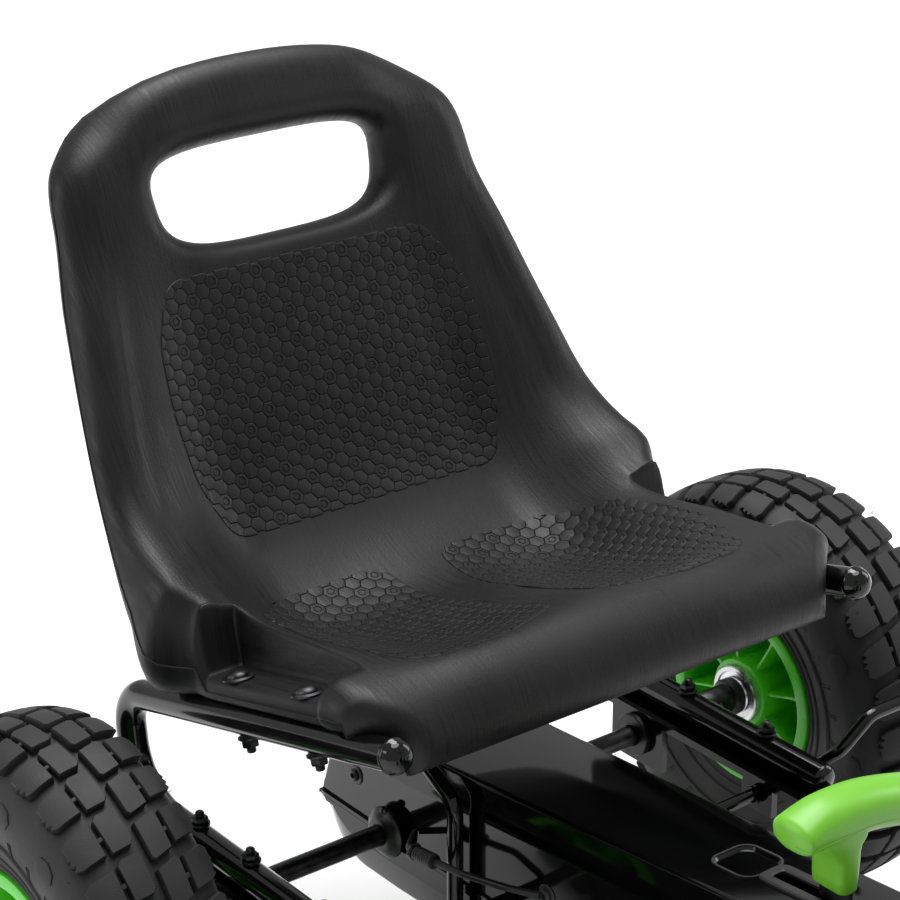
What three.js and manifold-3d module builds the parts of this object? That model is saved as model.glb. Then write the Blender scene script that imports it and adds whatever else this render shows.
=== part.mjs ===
// Pedal go kart: a tubular frame with a moulded seat, four green spoked wheels, an enclosed chain
// drive from the pedals to the rear axle, a steered front axle and a hand brake.
// Millimetres, +X forward, +Y to the rider's left, +Z up. Working places are measured from the rear
// axle (x), the centre plane (y) and the ground (z); the last lines move the origin to the middle of
// the footprint.
import * as THREE from 'three';
import { mergeVertices } from 'three/addons/utils/BufferGeometryUtils.js';
import Module from 'manifold-3d';

const wasm = await Module();
wasm.setup();

// ---------------------------------------------------------------- driving dimensions
const GAP = 0.3; // between pieces that touch

const TYRE_RADIUS = 130;
const TYRE_HALF_WIDTH = 39;
const TRACK_HALF = 252; // centre plane to the middle of a tyre
const FRONT_AXLE_X = 860;
const AXLE_Z = TYRE_RADIUS;
const FRONT_END_X = 1010;
const SEAT_REAR_X = -199.2; // the back of the seat overhangs the rear tyres
const ORIGIN_X = (FRONT_END_X + SEAT_REAR_X) / 2;

const TYRE_SIDES = 20;
const RIM_SIDES = 16;
const RIM_HALF_WIDTH = 31;
const RIM_FLANGE_RADIUS = 58.3;
const RIM_BARREL_RADIUS = 50;
const HUB_RADIUS = 22;
const RIB_COUNT = 8;
const RIB_PHASE = THREE.MathUtils.degToRad(16);
const BEARING_RADIUS = 18.4;

const AXLE_RADIUS = 6;
const RUNNING_GAP = 0.4;

const SEAT_TUBE_Y = 154.5;
const SEAT_TUBE_RADIUS = 8.5;
const RAIL_SLOPE = THREE.MathUtils.degToRad(15);
const RAIL_FRONT = [150, 280.2]; // x, z of the upper rail's front end
const LOWER_LEG_Z = 154.5;
const CLAMP_BOLT_X = [-23, 25, 91];
const SEAT_BOLT_X = [25, 86]; // where the seat bolts cross the upper rail's centre line

const CASE_HALF_WIDTH = 43;
const CASE_WALL = 2.5;
const CASE_SHOULDER = { inset: 20, depth: 5 };
const CASE_NARROWING = { from: 35, to: 285, share: 0.83 };
const CASE_SEAM_Z = 123.5;

const CRANK = { x: 600, z: 178, armLength: 105, tilt: THREE.MathUtils.degToRad(20) };
const CHAIN = { y: 20, pitch: 12.7, rearTeeth: 16, crankTeeth: 26, plate: 4.5, halfWidth: 3.5 };

const STEER_BASE = [836, 0, 133];
const STEER_WHEEL_CENTRE = [548, 0, 524];
const STEER_WHEEL_RADIUS = 130;
const PITMAN = { length: 45, halfWidth: 10, pinRadius: 4, leftEyeUp: 4.5, rightEyeUp: 11 };
const KINGPIN_Y = 190;
const KNUCKLE_ARM = 55;

const LEVER = { x: 295, pivotZ: 150, pinDrop: 8, halfWidth: 10, halfThickness: 1.5 };
const BRAKE = { x: 102, z: 135, radius: 4, armLength: 31, barX: 130, barZ: 177.5 };
const LINK_Y = 6;

const CROSS_TUBE = { x: 150, z: 76, endZ: 124, radius: 11 };
const BACKBONE = { bottom: 64, top: 88, halfWidth: 20 };
const BEAM = { bottom: 88.3, top: 116.3, halfDepth: 14 };

// ---------------------------------------------------------------- materials
const finish = (color, roughness, metalness) => ({ color, roughness, metalness });
const FINISH = {
  blackPaint: finish(0x101112, 0.25, 0.3),
  blackPlastic: finish(0x1c1d1f, 0.62, 0),
  glossPlastic: finish(0x0c0d0e, 0.2, 0),
  greenPlastic: finish(0x59c415, 0.38, 0),
  rubber: finish(0x202124, 0.85, 0),
  steel: finish(0xb8babd, 0.3, 1),
  darkSteel: finish(0x3a3b3d, 0.4, 0.9),
};

// ---------------------------------------------------------------- solids
const V = (x, y, z) => new THREE.Vector3(x, y, z);

function toSolid(geometry) {
  const bare = new THREE.BufferGeometry().setAttribute('position', geometry.getAttribute('position'));
  if (geometry.index) bare.setIndex(geometry.index);
  const merged = mergeVertices(bare, 1e-4);
  const corner = merged.index.array;
  const kept = [];
  let volume = 0;
  const [a, b, c] = [V(), V(), V()];
  for (let i = 0; i < corner.length; i += 3) {
    const [p, q, r] = [corner[i], corner[i + 1], corner[i + 2]];
    if (p === q || q === r || r === p) continue;
    kept.push(p, q, r);
    a.fromBufferAttribute(merged.attributes.position, p);
    b.fromBufferAttribute(merged.attributes.position, q);
    c.fromBufferAttribute(merged.attributes.position, r);
    volume += a.dot(b.cross(c));
  }
  if (volume < 0) kept.reverse(); // faces point outwards
  return new wasm.Manifold(new wasm.Mesh({
    numProp: 3,
    vertProperties: Float32Array.from(merged.attributes.position.array),
    triVerts: Uint32Array.from(kept),
  }));
}

function toGeometry(solid) {
  const { vertProperties, triVerts } = solid.getMesh();
  const geometry = new THREE.BufferGeometry();
  geometry.setAttribute('position', new THREE.BufferAttribute(Float32Array.from(vertProperties), 3));
  geometry.setIndex(new THREE.BufferAttribute(Uint32Array.from(triVerts), 1));
  geometry.computeVertexNormals();
  return geometry;
}

const clean = (geometry) => toGeometry(toSolid(geometry));
const join = (...pieces) => toGeometry(pieces.map(toSolid).reduce((all, next) => all.add(next)));
const cut = (piece, ...tools) =>
  toGeometry(tools.map(toSolid).reduce((left, tool) => left.subtract(tool), toSolid(piece)));
const overlapOf = (piece, other) => toGeometry(toSolid(piece).intersect(toSolid(other)));

const block = ([x0, y0, z0], [x1, y1, z1]) =>
  new THREE.BoxGeometry(x1 - x0, y1 - y0, z1 - z0).translate((x0 + x1) / 2, (y0 + y1) / 2, (z0 + z1) / 2);

// A bar of round section between two points.
function rod(from, to, radius, sides = 8) {
  const axis = to.clone().sub(from);
  const turn = new THREE.Quaternion().setFromUnitVectors(V(0, 1, 0), axis.clone().normalize());
  const middle = from.clone().add(to).multiplyScalar(0.5);
  return new THREE.CylinderGeometry(radius, radius, axis.length(), sides)
    .applyQuaternion(turn).translate(middle.x, middle.y, middle.z);
}

// A turned piece round the Y axis: its profile is a list of [radius, y]. A flat facet faces each way
// along X and Z where the number of sides divides by four.
const turned = (profile, sides = 16) =>
  new THREE.LatheGeometry(profile.map(([r, y]) => new THREE.Vector2(r, y)), sides, Math.PI / sides);

// A flat outline in X and Z, given a thickness along Y.
function plate(outline, y0, y1) {
  const shape = new THREE.Shape(outline.map(([x, z]) => new THREE.Vector2(x, z)));
  return new THREE.ExtrudeGeometry(shape, { depth: y1 - y0, bevelEnabled: false })
    .applyMatrix4(new THREE.Matrix4().makeBasis(V(1, 0, 0), V(0, 0, 1), V(0, 1, 0)))
    .translate(0, y0, 0);
}

const arcPoints = (cx, cz, radius, from, to, steps) =>
  Array.from({ length: steps + 1 }, (_, i) => {
    const angle = from + ((to - from) * i) / steps;
    return [cx + radius * Math.cos(angle), cz + radius * Math.sin(angle)];
  });

// Straight runs joined by round bends, with a station only where the direction changes.
class BentRoute extends THREE.Curve {
  constructor(points, bend, bendSteps) {
    super();
    const stations = [];
    points.forEach((point, i) => {
      const before = points[i - 1];
      const after = points[i + 1];
      if (!before || !after) {
        const direction = before ? point.clone().sub(before) : after.clone().sub(point);
        stations.push([point, direction.normalize()]);
        return;
      }
      const into = point.clone().sub(before).normalize();
      const out = after.clone().sub(point).normalize();
      const turn = into.angleTo(out);
      const radius = Array.isArray(bend) ? bend[i - 1] : bend;
      const reach = radius * Math.tan(turn / 2);
      const start = point.clone().addScaledVector(into, -reach);
      const side = out.clone().addScaledVector(into, -into.dot(out)).normalize();
      for (let step = 0; step <= bendSteps; step++) {
        const angle = (turn * step) / bendSteps;
        stations.push([
          start.clone().addScaledVector(into, radius * Math.sin(angle))
            .addScaledVector(side, radius * (1 - Math.cos(angle))),
          into.clone().multiplyScalar(Math.cos(angle)).addScaledVector(side, Math.sin(angle)),
        ]);
      }
    });
    this.stations = stations;
  }
  at(u) { return this.stations[Math.round(u * (this.stations.length - 1))]; }
  getPoint(t) { return this.at(t)[0].clone(); }
  getPointAt(u) { return this.at(u)[0].clone(); }
  getTangentAt(u) { return this.at(u)[1].clone(); }
}

const circle = (radius, sides) =>
  new THREE.Shape(Array.from({ length: sides }, (_, i) => {
    const angle = ((i + 0.5) * 2 * Math.PI) / sides;
    return new THREE.Vector2(radius * Math.cos(angle), radius * Math.sin(angle));
  }));

function bentTube(points, radius, { bend = 30, bendSteps = 4, sides = 10 } = {}) {
  const route = new BentRoute(points.map((p) => V(...p)), bend, bendSteps);
  return new THREE.ExtrudeGeometry(circle(radius, sides), {
    steps: route.stations.length - 1, extrudePath: route, bevelEnabled: false,
  });
}

// A closed skin through rings of equal length; each ring is a thick line, listed along its upper side
// and back along its lower side, so that the end caps are strips.
function loft(rings) {
  const size = rings[0].length;
  const position = rings.flat().flatMap((p) => [p.x, p.y, p.z]);
  const index = [];
  for (let r = 0; r < rings.length - 1; r++) {
    for (let i = 0; i < size; i++) {
      const [a, b] = [r * size + i, r * size + ((i + 1) % size)];
      index.push(a, b, b + size, a, b + size, a + size);
    }
  }
  const last = (rings.length - 1) * size;
  for (let i = 0; i < size / 2 - 1; i++) {
    const [a, b, c, d] = [i, i + 1, size - 2 - i, size - 1 - i];
    index.push(a, c, b, a, d, c);
    index.push(last + a, last + b, last + c, last + a, last + c, last + d);
  }
  const geometry = new THREE.BufferGeometry();
  geometry.setAttribute('position', new THREE.Float32BufferAttribute(position, 3));
  geometry.setIndex(index);
  return clean(geometry);
}

// ---------------------------------------------------------------- the assembly
const kart = new THREE.Group();
kart.position.x = -ORIGIN_X;

function add(name, geometry, look, parent = kart) {
  const mesh = new THREE.Mesh(geometry, new THREE.MeshStandardMaterial(look));
  mesh.name = name;
  parent.add(mesh);
  return mesh;
}

const SIDES = [['left', 1], ['right', -1]];

// ---------------------------------------------------------------- wheels
function tyreGeometry() {
  const facet = 1 / Math.cos(Math.PI / TYRE_SIDES); // tread facets, not corners, lie at the radius
  const half = [
    [TYRE_RADIUS * facet, 22], [122, 36], [104, TYRE_HALF_WIDTH], [76, 35.5], [60, 28],
    [52, 25.6], [60, 23], [104, 33], [119, 23],
  ];
  const mirrored = [...half].reverse().map(([r, y]) => [r, -y]);
  return clean(turned([...half, ...mirrored, half[0]], TYRE_SIDES));
}

function rimGeometry() {
  const flange = RIM_FLANGE_RADIUS;
  const barrel = RIM_BARREL_RADIUS;
  const half = RIM_HALF_WIDTH;
  const ring = turned([
    [flange, half], [flange, half - 2.2], [barrel, half - 4.5], [barrel, 4.5 - half],
    [flange, 2.2 - half], [flange, -half], [barrel - 3, -half], [barrel - 3, half], [flange, half],
  ], RIM_SIDES);
  const web = turned([[0, -3], [barrel - 1, -3], [barrel - 1, 3], [0, 3]], RIM_SIDES);
  const hub = turned([[0, -half], [HUB_RADIUS, -half], [HUB_RADIUS, half], [0, half]]);
  const ribs = Array.from({ length: RIB_COUNT }, (_, i) => {
    const angle = RIB_PHASE + (i * 2 * Math.PI) / RIB_COUNT;
    return block([HUB_RADIUS - 2, 3 - half, -1.7], [barrel - 1, half - 3, 1.7]).rotateY(-angle);
  });
  const bore = rod(V(0, -half - 1, 0), V(0, half + 1, 0), AXLE_RADIUS + RUNNING_GAP, 16);
  return cut(join(ring, web, hub, ...ribs), bore);
}

// The flanged ring on the hub's inner face that runs against the axle's collar.
function bearingGeometry() {
  const inner = -RIM_HALF_WIDTH - 4;
  const outer = -RIM_HALF_WIDTH - GAP;
  const bore = AXLE_RADIUS + RUNNING_GAP;
  return clean(turned([
    [bore, inner], [BEARING_RADIUS - 1, inner], [BEARING_RADIUS, inner + 1], [BEARING_RADIUS, outer],
    [bore, outer], [bore, inner],
  ]));
}

const tyre = tyreGeometry();
const rim = rimGeometry();
const bearing = bearingGeometry();

for (const [end, x] of [['rear', 0], ['front', FRONT_AXLE_X]]) {
  for (const [side, sign] of SIDES) {
    const wheel = new THREE.Group();
    wheel.position.set(x, sign * TRACK_HALF, AXLE_Z);
    if (sign < 0) wheel.rotation.z = Math.PI;
    kart.add(wheel);
    add(`${end}_${side}_tyre`, tyre, FINISH.rubber, wheel);
    add(`${end}_${side}_rim`, rim, FINISH.greenPlastic, wheel);
    if (end === 'rear') add(`rear_${side}_bearing`, bearing, FINISH.steel, wheel);
  }
}

// ---------------------------------------------------------------- rear axle
function rearAxleGeometry() {
  const collarEnd = TRACK_HALF - RIM_HALF_WIDTH - 4 - GAP;
  const nutStart = TRACK_HALF + RIM_HALF_WIDTH + GAP;
  const half = [
    [AXLE_RADIUS, 188], [9, 188], [9, 210], [11.5, 210], [11.5, collarEnd],
    [AXLE_RADIUS, collarEnd], [AXLE_RADIUS, nutStart], [10, nutStart], [10, nutStart + 5],
    [0, nutStart + 7],
  ];
  const otherEnd = [...half].reverse().map(([r, y]) => [r, -y]);
  return clean(turned([...otherEnd, ...half], 12)).translate(0, 0, AXLE_Z);
}

function collarGeometry() {
  const bore = AXLE_RADIUS + GAP;
  const inner = -CASE_HALF_WIDTH - 2;
  return clean(turned([
    [bore, inner], [14, inner], [15, inner - 3], [12.5, inner - 6], [9, inner - 8], [bore, inner - 8],
    [bore, inner],
  ], 16)).translate(0, 0, AXLE_Z);
}

add('rear_axle', rearAxleGeometry(), FINISH.darkSteel);
add('axle_collar', collarGeometry(), FINISH.steel);

// ---------------------------------------------------------------- chain drive
const pitchRadius = (teeth) => CHAIN.pitch / (2 * Math.sin(Math.PI / teeth));
const REAR_PITCH = pitchRadius(CHAIN.rearTeeth);
const CRANK_PITCH = pitchRadius(CHAIN.crankTeeth);

function sprocketGeometry(teeth, bore) {
  const pitch = pitchRadius(teeth);
  const [root, tip, halfThickness] = [pitch - 3.5, pitch + 1, 1.2];
  const step = (2 * Math.PI) / teeth;
  const outline = [];
  for (let i = 0; i < teeth; i++) {
    for (const [share, radius] of [[0, root], [0.5, tip]]) {
      const angle = step * (i + share);
      outline.push([radius * Math.cos(angle), radius * Math.sin(angle)]);
    }
  }
  const disc = plate(outline, CHAIN.y - halfThickness, CHAIN.y + halfThickness);
  const boss = rod(V(0, CHAIN.y - 5, 0), V(0, CHAIN.y + 5, 0), bore + 7, 16);
  const hole = rod(V(0, CHAIN.y - 9, 0), V(0, CHAIN.y + 9, 0), bore, 16);
  return cut(join(disc, boss), hole);
}

// The chain's loop, moved out from its pitch line by an offset.
function chainLoop(offset) {
  const [dx, dz] = [CRANK.x, CRANK.z - AXLE_Z];
  const span = Math.hypot(dx, dz);
  const rise = Math.atan2(dz, dx);
  const lean = Math.asin((CRANK_PITCH - REAR_PITCH) / span);
  const upper = rise + Math.PI / 2 + lean;
  const lower = rise - Math.PI / 2 - lean;
  return [
    ...arcPoints(0, AXLE_Z, REAR_PITCH + offset, upper, lower + 2 * Math.PI, 9),
    ...arcPoints(CRANK.x, CRANK.z, CRANK_PITCH + offset, lower, upper, 12),
  ];
}

function chainGeometry() {
  const { y, plate: halfPlate, halfWidth } = CHAIN;
  const band = plate(chainLoop(halfPlate), y - halfWidth, y + halfWidth);
  const inside = plate(chainLoop(-halfPlate), y - halfWidth - 1, y + halfWidth + 1);
  const toothSlot = plate(chainLoop(2.5), y - 1.7, y + 1.7);
  return cut(band, inside, toothSlot);
}

const atAxle = (geometry) => geometry.clone().translate(0, 0, AXLE_Z);
add('rear_sprocket', atAxle(sprocketGeometry(CHAIN.rearTeeth, AXLE_RADIUS + GAP)), FINISH.darkSteel);
add('crank_sprocket', sprocketGeometry(CHAIN.crankTeeth, 8 + GAP).translate(CRANK.x, 0, CRANK.z),
  FINISH.darkSteel);
add('chain', chainGeometry(), FINISH.darkSteel);

const CRANK_ARM_Y = [43, 51];
const PEDAL_Y = [60, 136];

function crankGeometry() {
  const pieces = [rod(V(0, -CRANK_ARM_Y[1], 0), V(0, CRANK_ARM_Y[1], 0), 8, 16)];
  for (const [, sign] of SIDES) {
    const reach = -sign * CRANK.armLength;
    const [y0, y1] = sign > 0 ? CRANK_ARM_Y : [-CRANK_ARM_Y[1], -CRANK_ARM_Y[0]];
    const ends = [Math.min(0, reach), Math.max(0, reach)];
    pieces.push(
      block([ends[0], y0, -9], [ends[1], y1, 9]),
      rod(V(0, y0, 0), V(0, y1, 0), 14, 16),
      rod(V(reach, y0, 0), V(reach, y1, 0), 11, 16),
      rod(V(reach, sign * CRANK_ARM_Y[0], 0), V(reach, sign * (PEDAL_Y[1] - 6), 0), 5, 12),
    );
  }
  return join(...pieces).rotateY(-CRANK.tilt).translate(CRANK.x, 0, CRANK.z);
}

const pedalPlace = (sign) => [
  CRANK.x - sign * CRANK.armLength * Math.cos(CRANK.tilt),
  CRANK.z - sign * CRANK.armLength * Math.sin(CRANK.tilt),
];

function pedalGeometry(sign) {
  const [x, z] = pedalPlace(sign);
  const y = PEDAL_Y.map((value) => sign * value).sort((a, b) => a - b);
  const body = block([x - 34, y[0], z - 10], [x + 34, y[1], z + 10]);
  const grips = [-26, -13, 13, 26].map((offset) =>
    block([x + offset - 3, y[0] + 8, z - 13], [x + offset + 3, y[1] - 8, z + 13]));
  const inward = sign > 0 ? -1 : 1;
  const mouth = inward < 0 ? y[0] - 1 : y[1] + 1;
  const deep = sign * (PEDAL_Y[1] - 4);
  return cut(join(body, ...grips), rod(V(x, mouth, z), V(x, deep, z), 5 + RUNNING_GAP, 16));
}

add('crank', crankGeometry(), FINISH.darkSteel);
for (const [side, sign] of SIDES) add(`${side}_pedal`, pedalGeometry(sign), FINISH.blackPlastic);

function crankBracketGeometry() {
  const shell = rod(V(CRANK.x, -28, CRANK.z), V(CRANK.x, 13, CRANK.z), 15, 20);
  const bore = rod(V(CRANK.x, -30, CRANK.z), V(CRANK.x, 15, CRANK.z), 8 + RUNNING_GAP, 20);
  const post = block([CRANK.x - 14, -10, BACKBONE.top + GAP], [CRANK.x + 14, 4, CRANK.z]);
  return cut(join(shell, post), bore);
}
add('crank_bracket', crankBracketGeometry(), FINISH.blackPaint);

// ---------------------------------------------------------------- chain case
const CASE_NOSE_RADIUS = 62;
const LEVER_SLOT = [[256, -4, 195], [314, 4, 230]];
const caseTop = (x) => 183 + 0.095 * x;

function caseOutline(inset) {
  const nose = arcPoints(CRANK.x, CRANK.z, CASE_NOSE_RADIUS - inset, -Math.PI / 2, Math.PI / 2, 8);
  return [
    [-67 + inset, CASE_SEAM_Z], [-61 + inset, 105 + inset * 0.4], [-54 + inset, 95 + inset * 0.7],
    [-40 + inset * 0.6, 88 + inset], [0, 88 + inset], ...nose,
    [-50 + inset * 0.5, caseTop(-50) - inset], [-64 + inset, caseTop(-64) - 8 - inset],
  ];
}

// Outlines in X and Z at rising places along Y, skinned into one closed body.
function stacked(layers) {
  const size = layers[0].outline.length;
  const position = layers.flatMap(({ y, outline }) => outline.flatMap(([x, z]) => [x, y, z]));
  const index = [];
  for (let layer = 0; layer < layers.length - 1; layer++) {
    for (let i = 0; i < size; i++) {
      const [a, b] = [layer * size + i, layer * size + ((i + 1) % size)];
      index.push(a, b, b + size, a, b + size, a + size);
    }
  }
  const top = (layers.length - 1) * size;
  const capOf = (layer) => THREE.ShapeUtils.triangulateShape(
    layer.outline.map(([x, z]) => new THREE.Vector2(x, z)), []);
  capOf(layers[0]).forEach(([a, b, c]) => index.push(a, c, b));
  capOf(layers[layers.length - 1]).forEach(([a, b, c]) => index.push(top + a, top + b, top + c));
  const geometry = new THREE.BufferGeometry();
  geometry.setAttribute('position', new THREE.Float32BufferAttribute(position, 3));
  geometry.setIndex(index);
  return geometry;
}

// The case's bulk, with the slanted shoulder that runs round both side faces; it narrows forward.
function caseBody(inset) {
  const half = CASE_HALF_WIDTH - inset;
  const shoulder = half - CASE_SHOULDER.depth;
  const layer = (y, extra) => ({ y, outline: caseOutline(inset + extra) });
  const body = stacked([
    layer(-half, CASE_SHOULDER.inset), layer(-shoulder, 0),
    layer(shoulder, 0), layer(half, CASE_SHOULDER.inset),
  ]);
  const place = body.getAttribute('position');
  const { from, to, share } = CASE_NARROWING;
  for (let i = 0; i < place.count; i++) {
    const along = THREE.MathUtils.clamp((place.getX(i) - from) / (to - from), 0, 1);
    place.setY(i, place.getY(i) * (1 - (1 - share) * along));
  }
  return body;
}

function caseHalf(upper) {
  const outside = caseBody(0);
  const inside = caseBody(CASE_WALL);
  const seam = GAP / 2;
  const slab = (low, high) => block([-100, -60, low], [700, 60, high]);
  const halfSpace = upper ? slab(CASE_SEAM_Z + seam, 300) : slab(50, CASE_SEAM_Z - seam);
  const ribBand = upper ? slab(CASE_SEAM_Z + seam, 126) : slab(121, CASE_SEAM_Z - seam);
  const rib = overlapOf(caseBody(-2), ribBand);
  const across = (x, z, radius) => rod(V(x, -60, z), V(x, 60, z), radius, 12);
  const holes = [across(0, AXLE_Z, 8), across(CRANK.x, CRANK.z, 10), across(BRAKE.x, BRAKE.z, 5.5)];
  if (upper) return cut(join(overlapOf(outside, halfSpace), rib), inside, block(...LEVER_SLOT), ...holes);
  const feet = [block([190, -15, BACKBONE.top + GAP], [220, 15, 102]),
    block([450, -15, BACKBONE.top + GAP], [480, 15, 112])];
  const postHole = block([CRANK.x - 18, -14, 80], [CRANK.x + 18, 8, 135]);
  const bracketHole = block([LEVER.x - 14, -13, 80], [LEVER.x + 14, 1, 125]);
  const shell = join(overlapOf(outside, halfSpace), rib, ...feet);
  return cut(shell, inside, postHole, bracketHole, ...holes);
}

add('chain_case_upper', caseHalf(true), FINISH.glossPlastic);
add('chain_case_lower', caseHalf(false), FINISH.glossPlastic);

// ---------------------------------------------------------------- rear frame
const RAIL = { inner: 138, outer: 164, top: LOWER_LEG_Z - SEAT_TUBE_RADIUS - GAP, bottom: 112, wall: 4.7 };
const RAIL_LUGS = [[-22, 22, RAIL.bottom], [90, 114, 124], [136, 166, RAIL.bottom]]; // x from, x to, foot
const BUSH_RADIUS = 11;

function sideRailGeometry(sign) {
  const [y0, y1] = [RAIL.inner, RAIL.outer];
  const turn = (a, b) => (sign > 0 ? [a, b] : [-b, -a]);
  const slab = (x0, x1, [a, b], z0) => {
    const [low, high] = turn(a, b);
    return block([x0, low, z0], [x1, high, RAIL.top]);
  };
  const shelf = slab(-62, 166, [y0, y1], RAIL.top - RAIL.wall);
  const lugs = RAIL_LUGS.map(([x0, x1, foot]) => slab(x0, x1, [y0, y0 + RAIL.wall], foot));
  const across = (x, z, radius) =>
    rod(V(x, sign * (y0 - 9), z), V(x, sign * (y0 + 9), z), radius, 20);
  const boltHoles = CLAMP_BOLT_X.map((x) =>
    rod(V(x, sign * SEAT_TUBE_Y, 130), V(x, sign * SEAT_TUBE_Y, 160), 3.6, 6));
  return cut(join(shelf, ...lugs), across(0, AXLE_Z, BUSH_RADIUS + GAP), across(BRAKE.x, BRAKE.z, 4.8),
    ...boltHoles);
}

function axleBushGeometry(sign) {
  const bore = AXLE_RADIUS + RUNNING_GAP;
  const flange = RAIL.inner - GAP;
  const profile = [[bore, flange - 4], [13, flange - 4], [13, flange], [BUSH_RADIUS, flange],
    [BUSH_RADIUS, flange + 14], [bore, flange + 14], [bore, flange - 4]];
  return clean(turned(profile.map(([r, y]) => [r, sign * y]), 20)).translate(0, 0, AXLE_Z);
}

function seatTubeGeometry(sign) {
  const y = sign * SEAT_TUBE_Y;
  const [frontX, frontZ] = RAIL_FRONT;
  const run = frontX + 92;
  const upperRear = [frontX - run, y, frontZ - run * Math.tan(RAIL_SLOPE)];
  const tube = bentTube(
    [[frontX, y, frontZ], upperRear, [-84, y, LOWER_LEG_Z], [137, y, LOWER_LEG_Z]],
    SEAT_TUBE_RADIUS, { bend: [24, 36], bendSteps: 4, sides: 10 });
  const holes = SEAT_BOLT_X.map((x) => seatBoltRod(x, sign, -20, 20, 3.6, 6));
  const clampHoles = CLAMP_BOLT_X.map((x) => rod(V(x, y, 140), V(x, y, 170), 3.6, 6));
  return cut(tube, ...holes, ...clampHoles);
}

const railCentreZ = (x) => RAIL_FRONT[1] - (RAIL_FRONT[0] - x) * Math.tan(RAIL_SLOPE);

// A bar square to the upper rail, from one height above its centre line to another.
function seatBoltRod(x, sign, from, to, radius, sides = 8) {
  const at = (height) => V(x - height * Math.sin(RAIL_SLOPE), sign * SEAT_TUBE_Y,
    railCentreZ(x) + height * Math.cos(RAIL_SLOPE));
  return rod(at(from), at(to), radius, sides);
}

const SEAT_FLANGE = 13; // thickness of the seat's foot on the rail
const seatBoltGeometry = (x, sign) => {
  const under = SEAT_TUBE_RADIUS + GAP;
  const over = under + SEAT_FLANGE + GAP;
  return join(
    seatBoltRod(x, sign, -SEAT_TUBE_RADIUS - 14, over + 1, 3, 6),
    seatBoltRod(x, sign, over, over + 3.5, 6.5, 8),
    seatBoltRod(x, sign, -under - 6, -under, 5.5, 6),
  );
};

function clampBoltGeometry(x, sign) {
  const y = sign * SEAT_TUBE_Y;
  const tubeTop = LOWER_LEG_Z + SEAT_TUBE_RADIUS + GAP;
  const shelfUnder = RAIL.top - RAIL.wall - GAP;
  return join(
    rod(V(x, y, shelfUnder - 8), V(x, y, tubeTop + 5), 3, 6),
    rod(V(x, y, tubeTop), V(x, y, tubeTop + 4.5), 5.5, 6),
    rod(V(x, y, shelfUnder - 5), V(x, y, shelfUnder), 5.5, 6),
  );
}

function tubePlugGeometry(sign) {
  const [x, z] = RAIL_FRONT;
  const forward = V(Math.cos(RAIL_SLOPE), 0, Math.sin(RAIL_SLOPE));
  const profile = [[0, GAP], [9.2, GAP], [9.2, 3], [8.2, 6], [5.5, 8.3], [0, 9.2]];
  return clean(turned(profile, 20))
    .applyQuaternion(new THREE.Quaternion().setFromUnitVectors(V(0, 1, 0), forward))
    .translate(x, sign * SEAT_TUBE_Y, z);
}

for (const [side, sign] of SIDES) {
  add(`side_rail_${side}`, sideRailGeometry(sign), FINISH.blackPaint);
  add(`axle_bush_${side}`, axleBushGeometry(sign), FINISH.darkSteel);
  add(`seat_tube_${side}`, seatTubeGeometry(sign), FINISH.blackPaint);
  add(`tube_plug_${side}`, tubePlugGeometry(sign), FINISH.blackPlastic);
  SEAT_BOLT_X.forEach((x, i) =>
    add(`seat_bolt_${side}_${i + 1}`, seatBoltGeometry(x, sign), FINISH.darkSteel));
  CLAMP_BOLT_X.forEach((x, i) =>
    add(`clamp_bolt_${side}_${i + 1}`, clampBoltGeometry(x, sign), FINISH.darkSteel));
}

function crossTubeGeometry() {
  const { x, z, endZ, radius } = CROSS_TUBE;
  const end = RAIL.inner - GAP;
  return bentTube([[x, -end, endZ], [x, -92, endZ], [x, -60, z], [x, 60, z], [x, 92, endZ], [x, end, endZ]],
    radius, { bend: 22, bendSteps: 4 });
}

function backboneGeometry() {
  const start = CROSS_TUBE.x + CROSS_TUBE.radius + GAP;
  const { bottom, top, halfWidth } = BACKBONE;
  return block([start, -halfWidth, bottom], [FRONT_AXLE_X + BEAM.halfDepth, halfWidth, top]);
}

// The bent bar beside the case that carries the cable's adjuster.
const STAY = { y: -50, radius: 4.5 };
function caseStayGeometry() {
  const { y, radius } = STAY;
  const endX = CROSS_TUBE.x - CROSS_TUBE.radius - GAP;
  return bentTube([
    [14, -18, 190.5], [14, y + 3, 191.5], [40, y, 191.5], [65, y, 178],
    [65, y, CROSS_TUBE.z], [endX, y, CROSS_TUBE.z],
  ], radius, { bend: [9, 14, 13, 18], bendSteps: 4, sides: 8 });
}

function cableGeometry() {
  const run = bentTube([[22, -44.5, 139], [34, -58, 140], [54, -60, 143], [84, -60, 148], [112, -52, 150],
    [128, -43.5, 150]], 2, { bend: [8, 14, 14, 14], bendSteps: 2, sides: 6 });
  const barrel = rod(V(44, -59.5, 141.5), V(60, -60, 144), 4.2, 10);
  const lockNut = rod(V(40, -59, 140.9), V(43.5, -59.4, 141.4), 5.2, 6);
  return join(run, barrel, lockNut);
}

add('cross_tube', crossTubeGeometry(), FINISH.blackPaint);
add('backbone', backboneGeometry(), FINISH.blackPaint);
add('case_stay', caseStayGeometry(), FINISH.blackPaint);
add('drive_cable', cableGeometry(), FINISH.blackPlastic);

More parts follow.
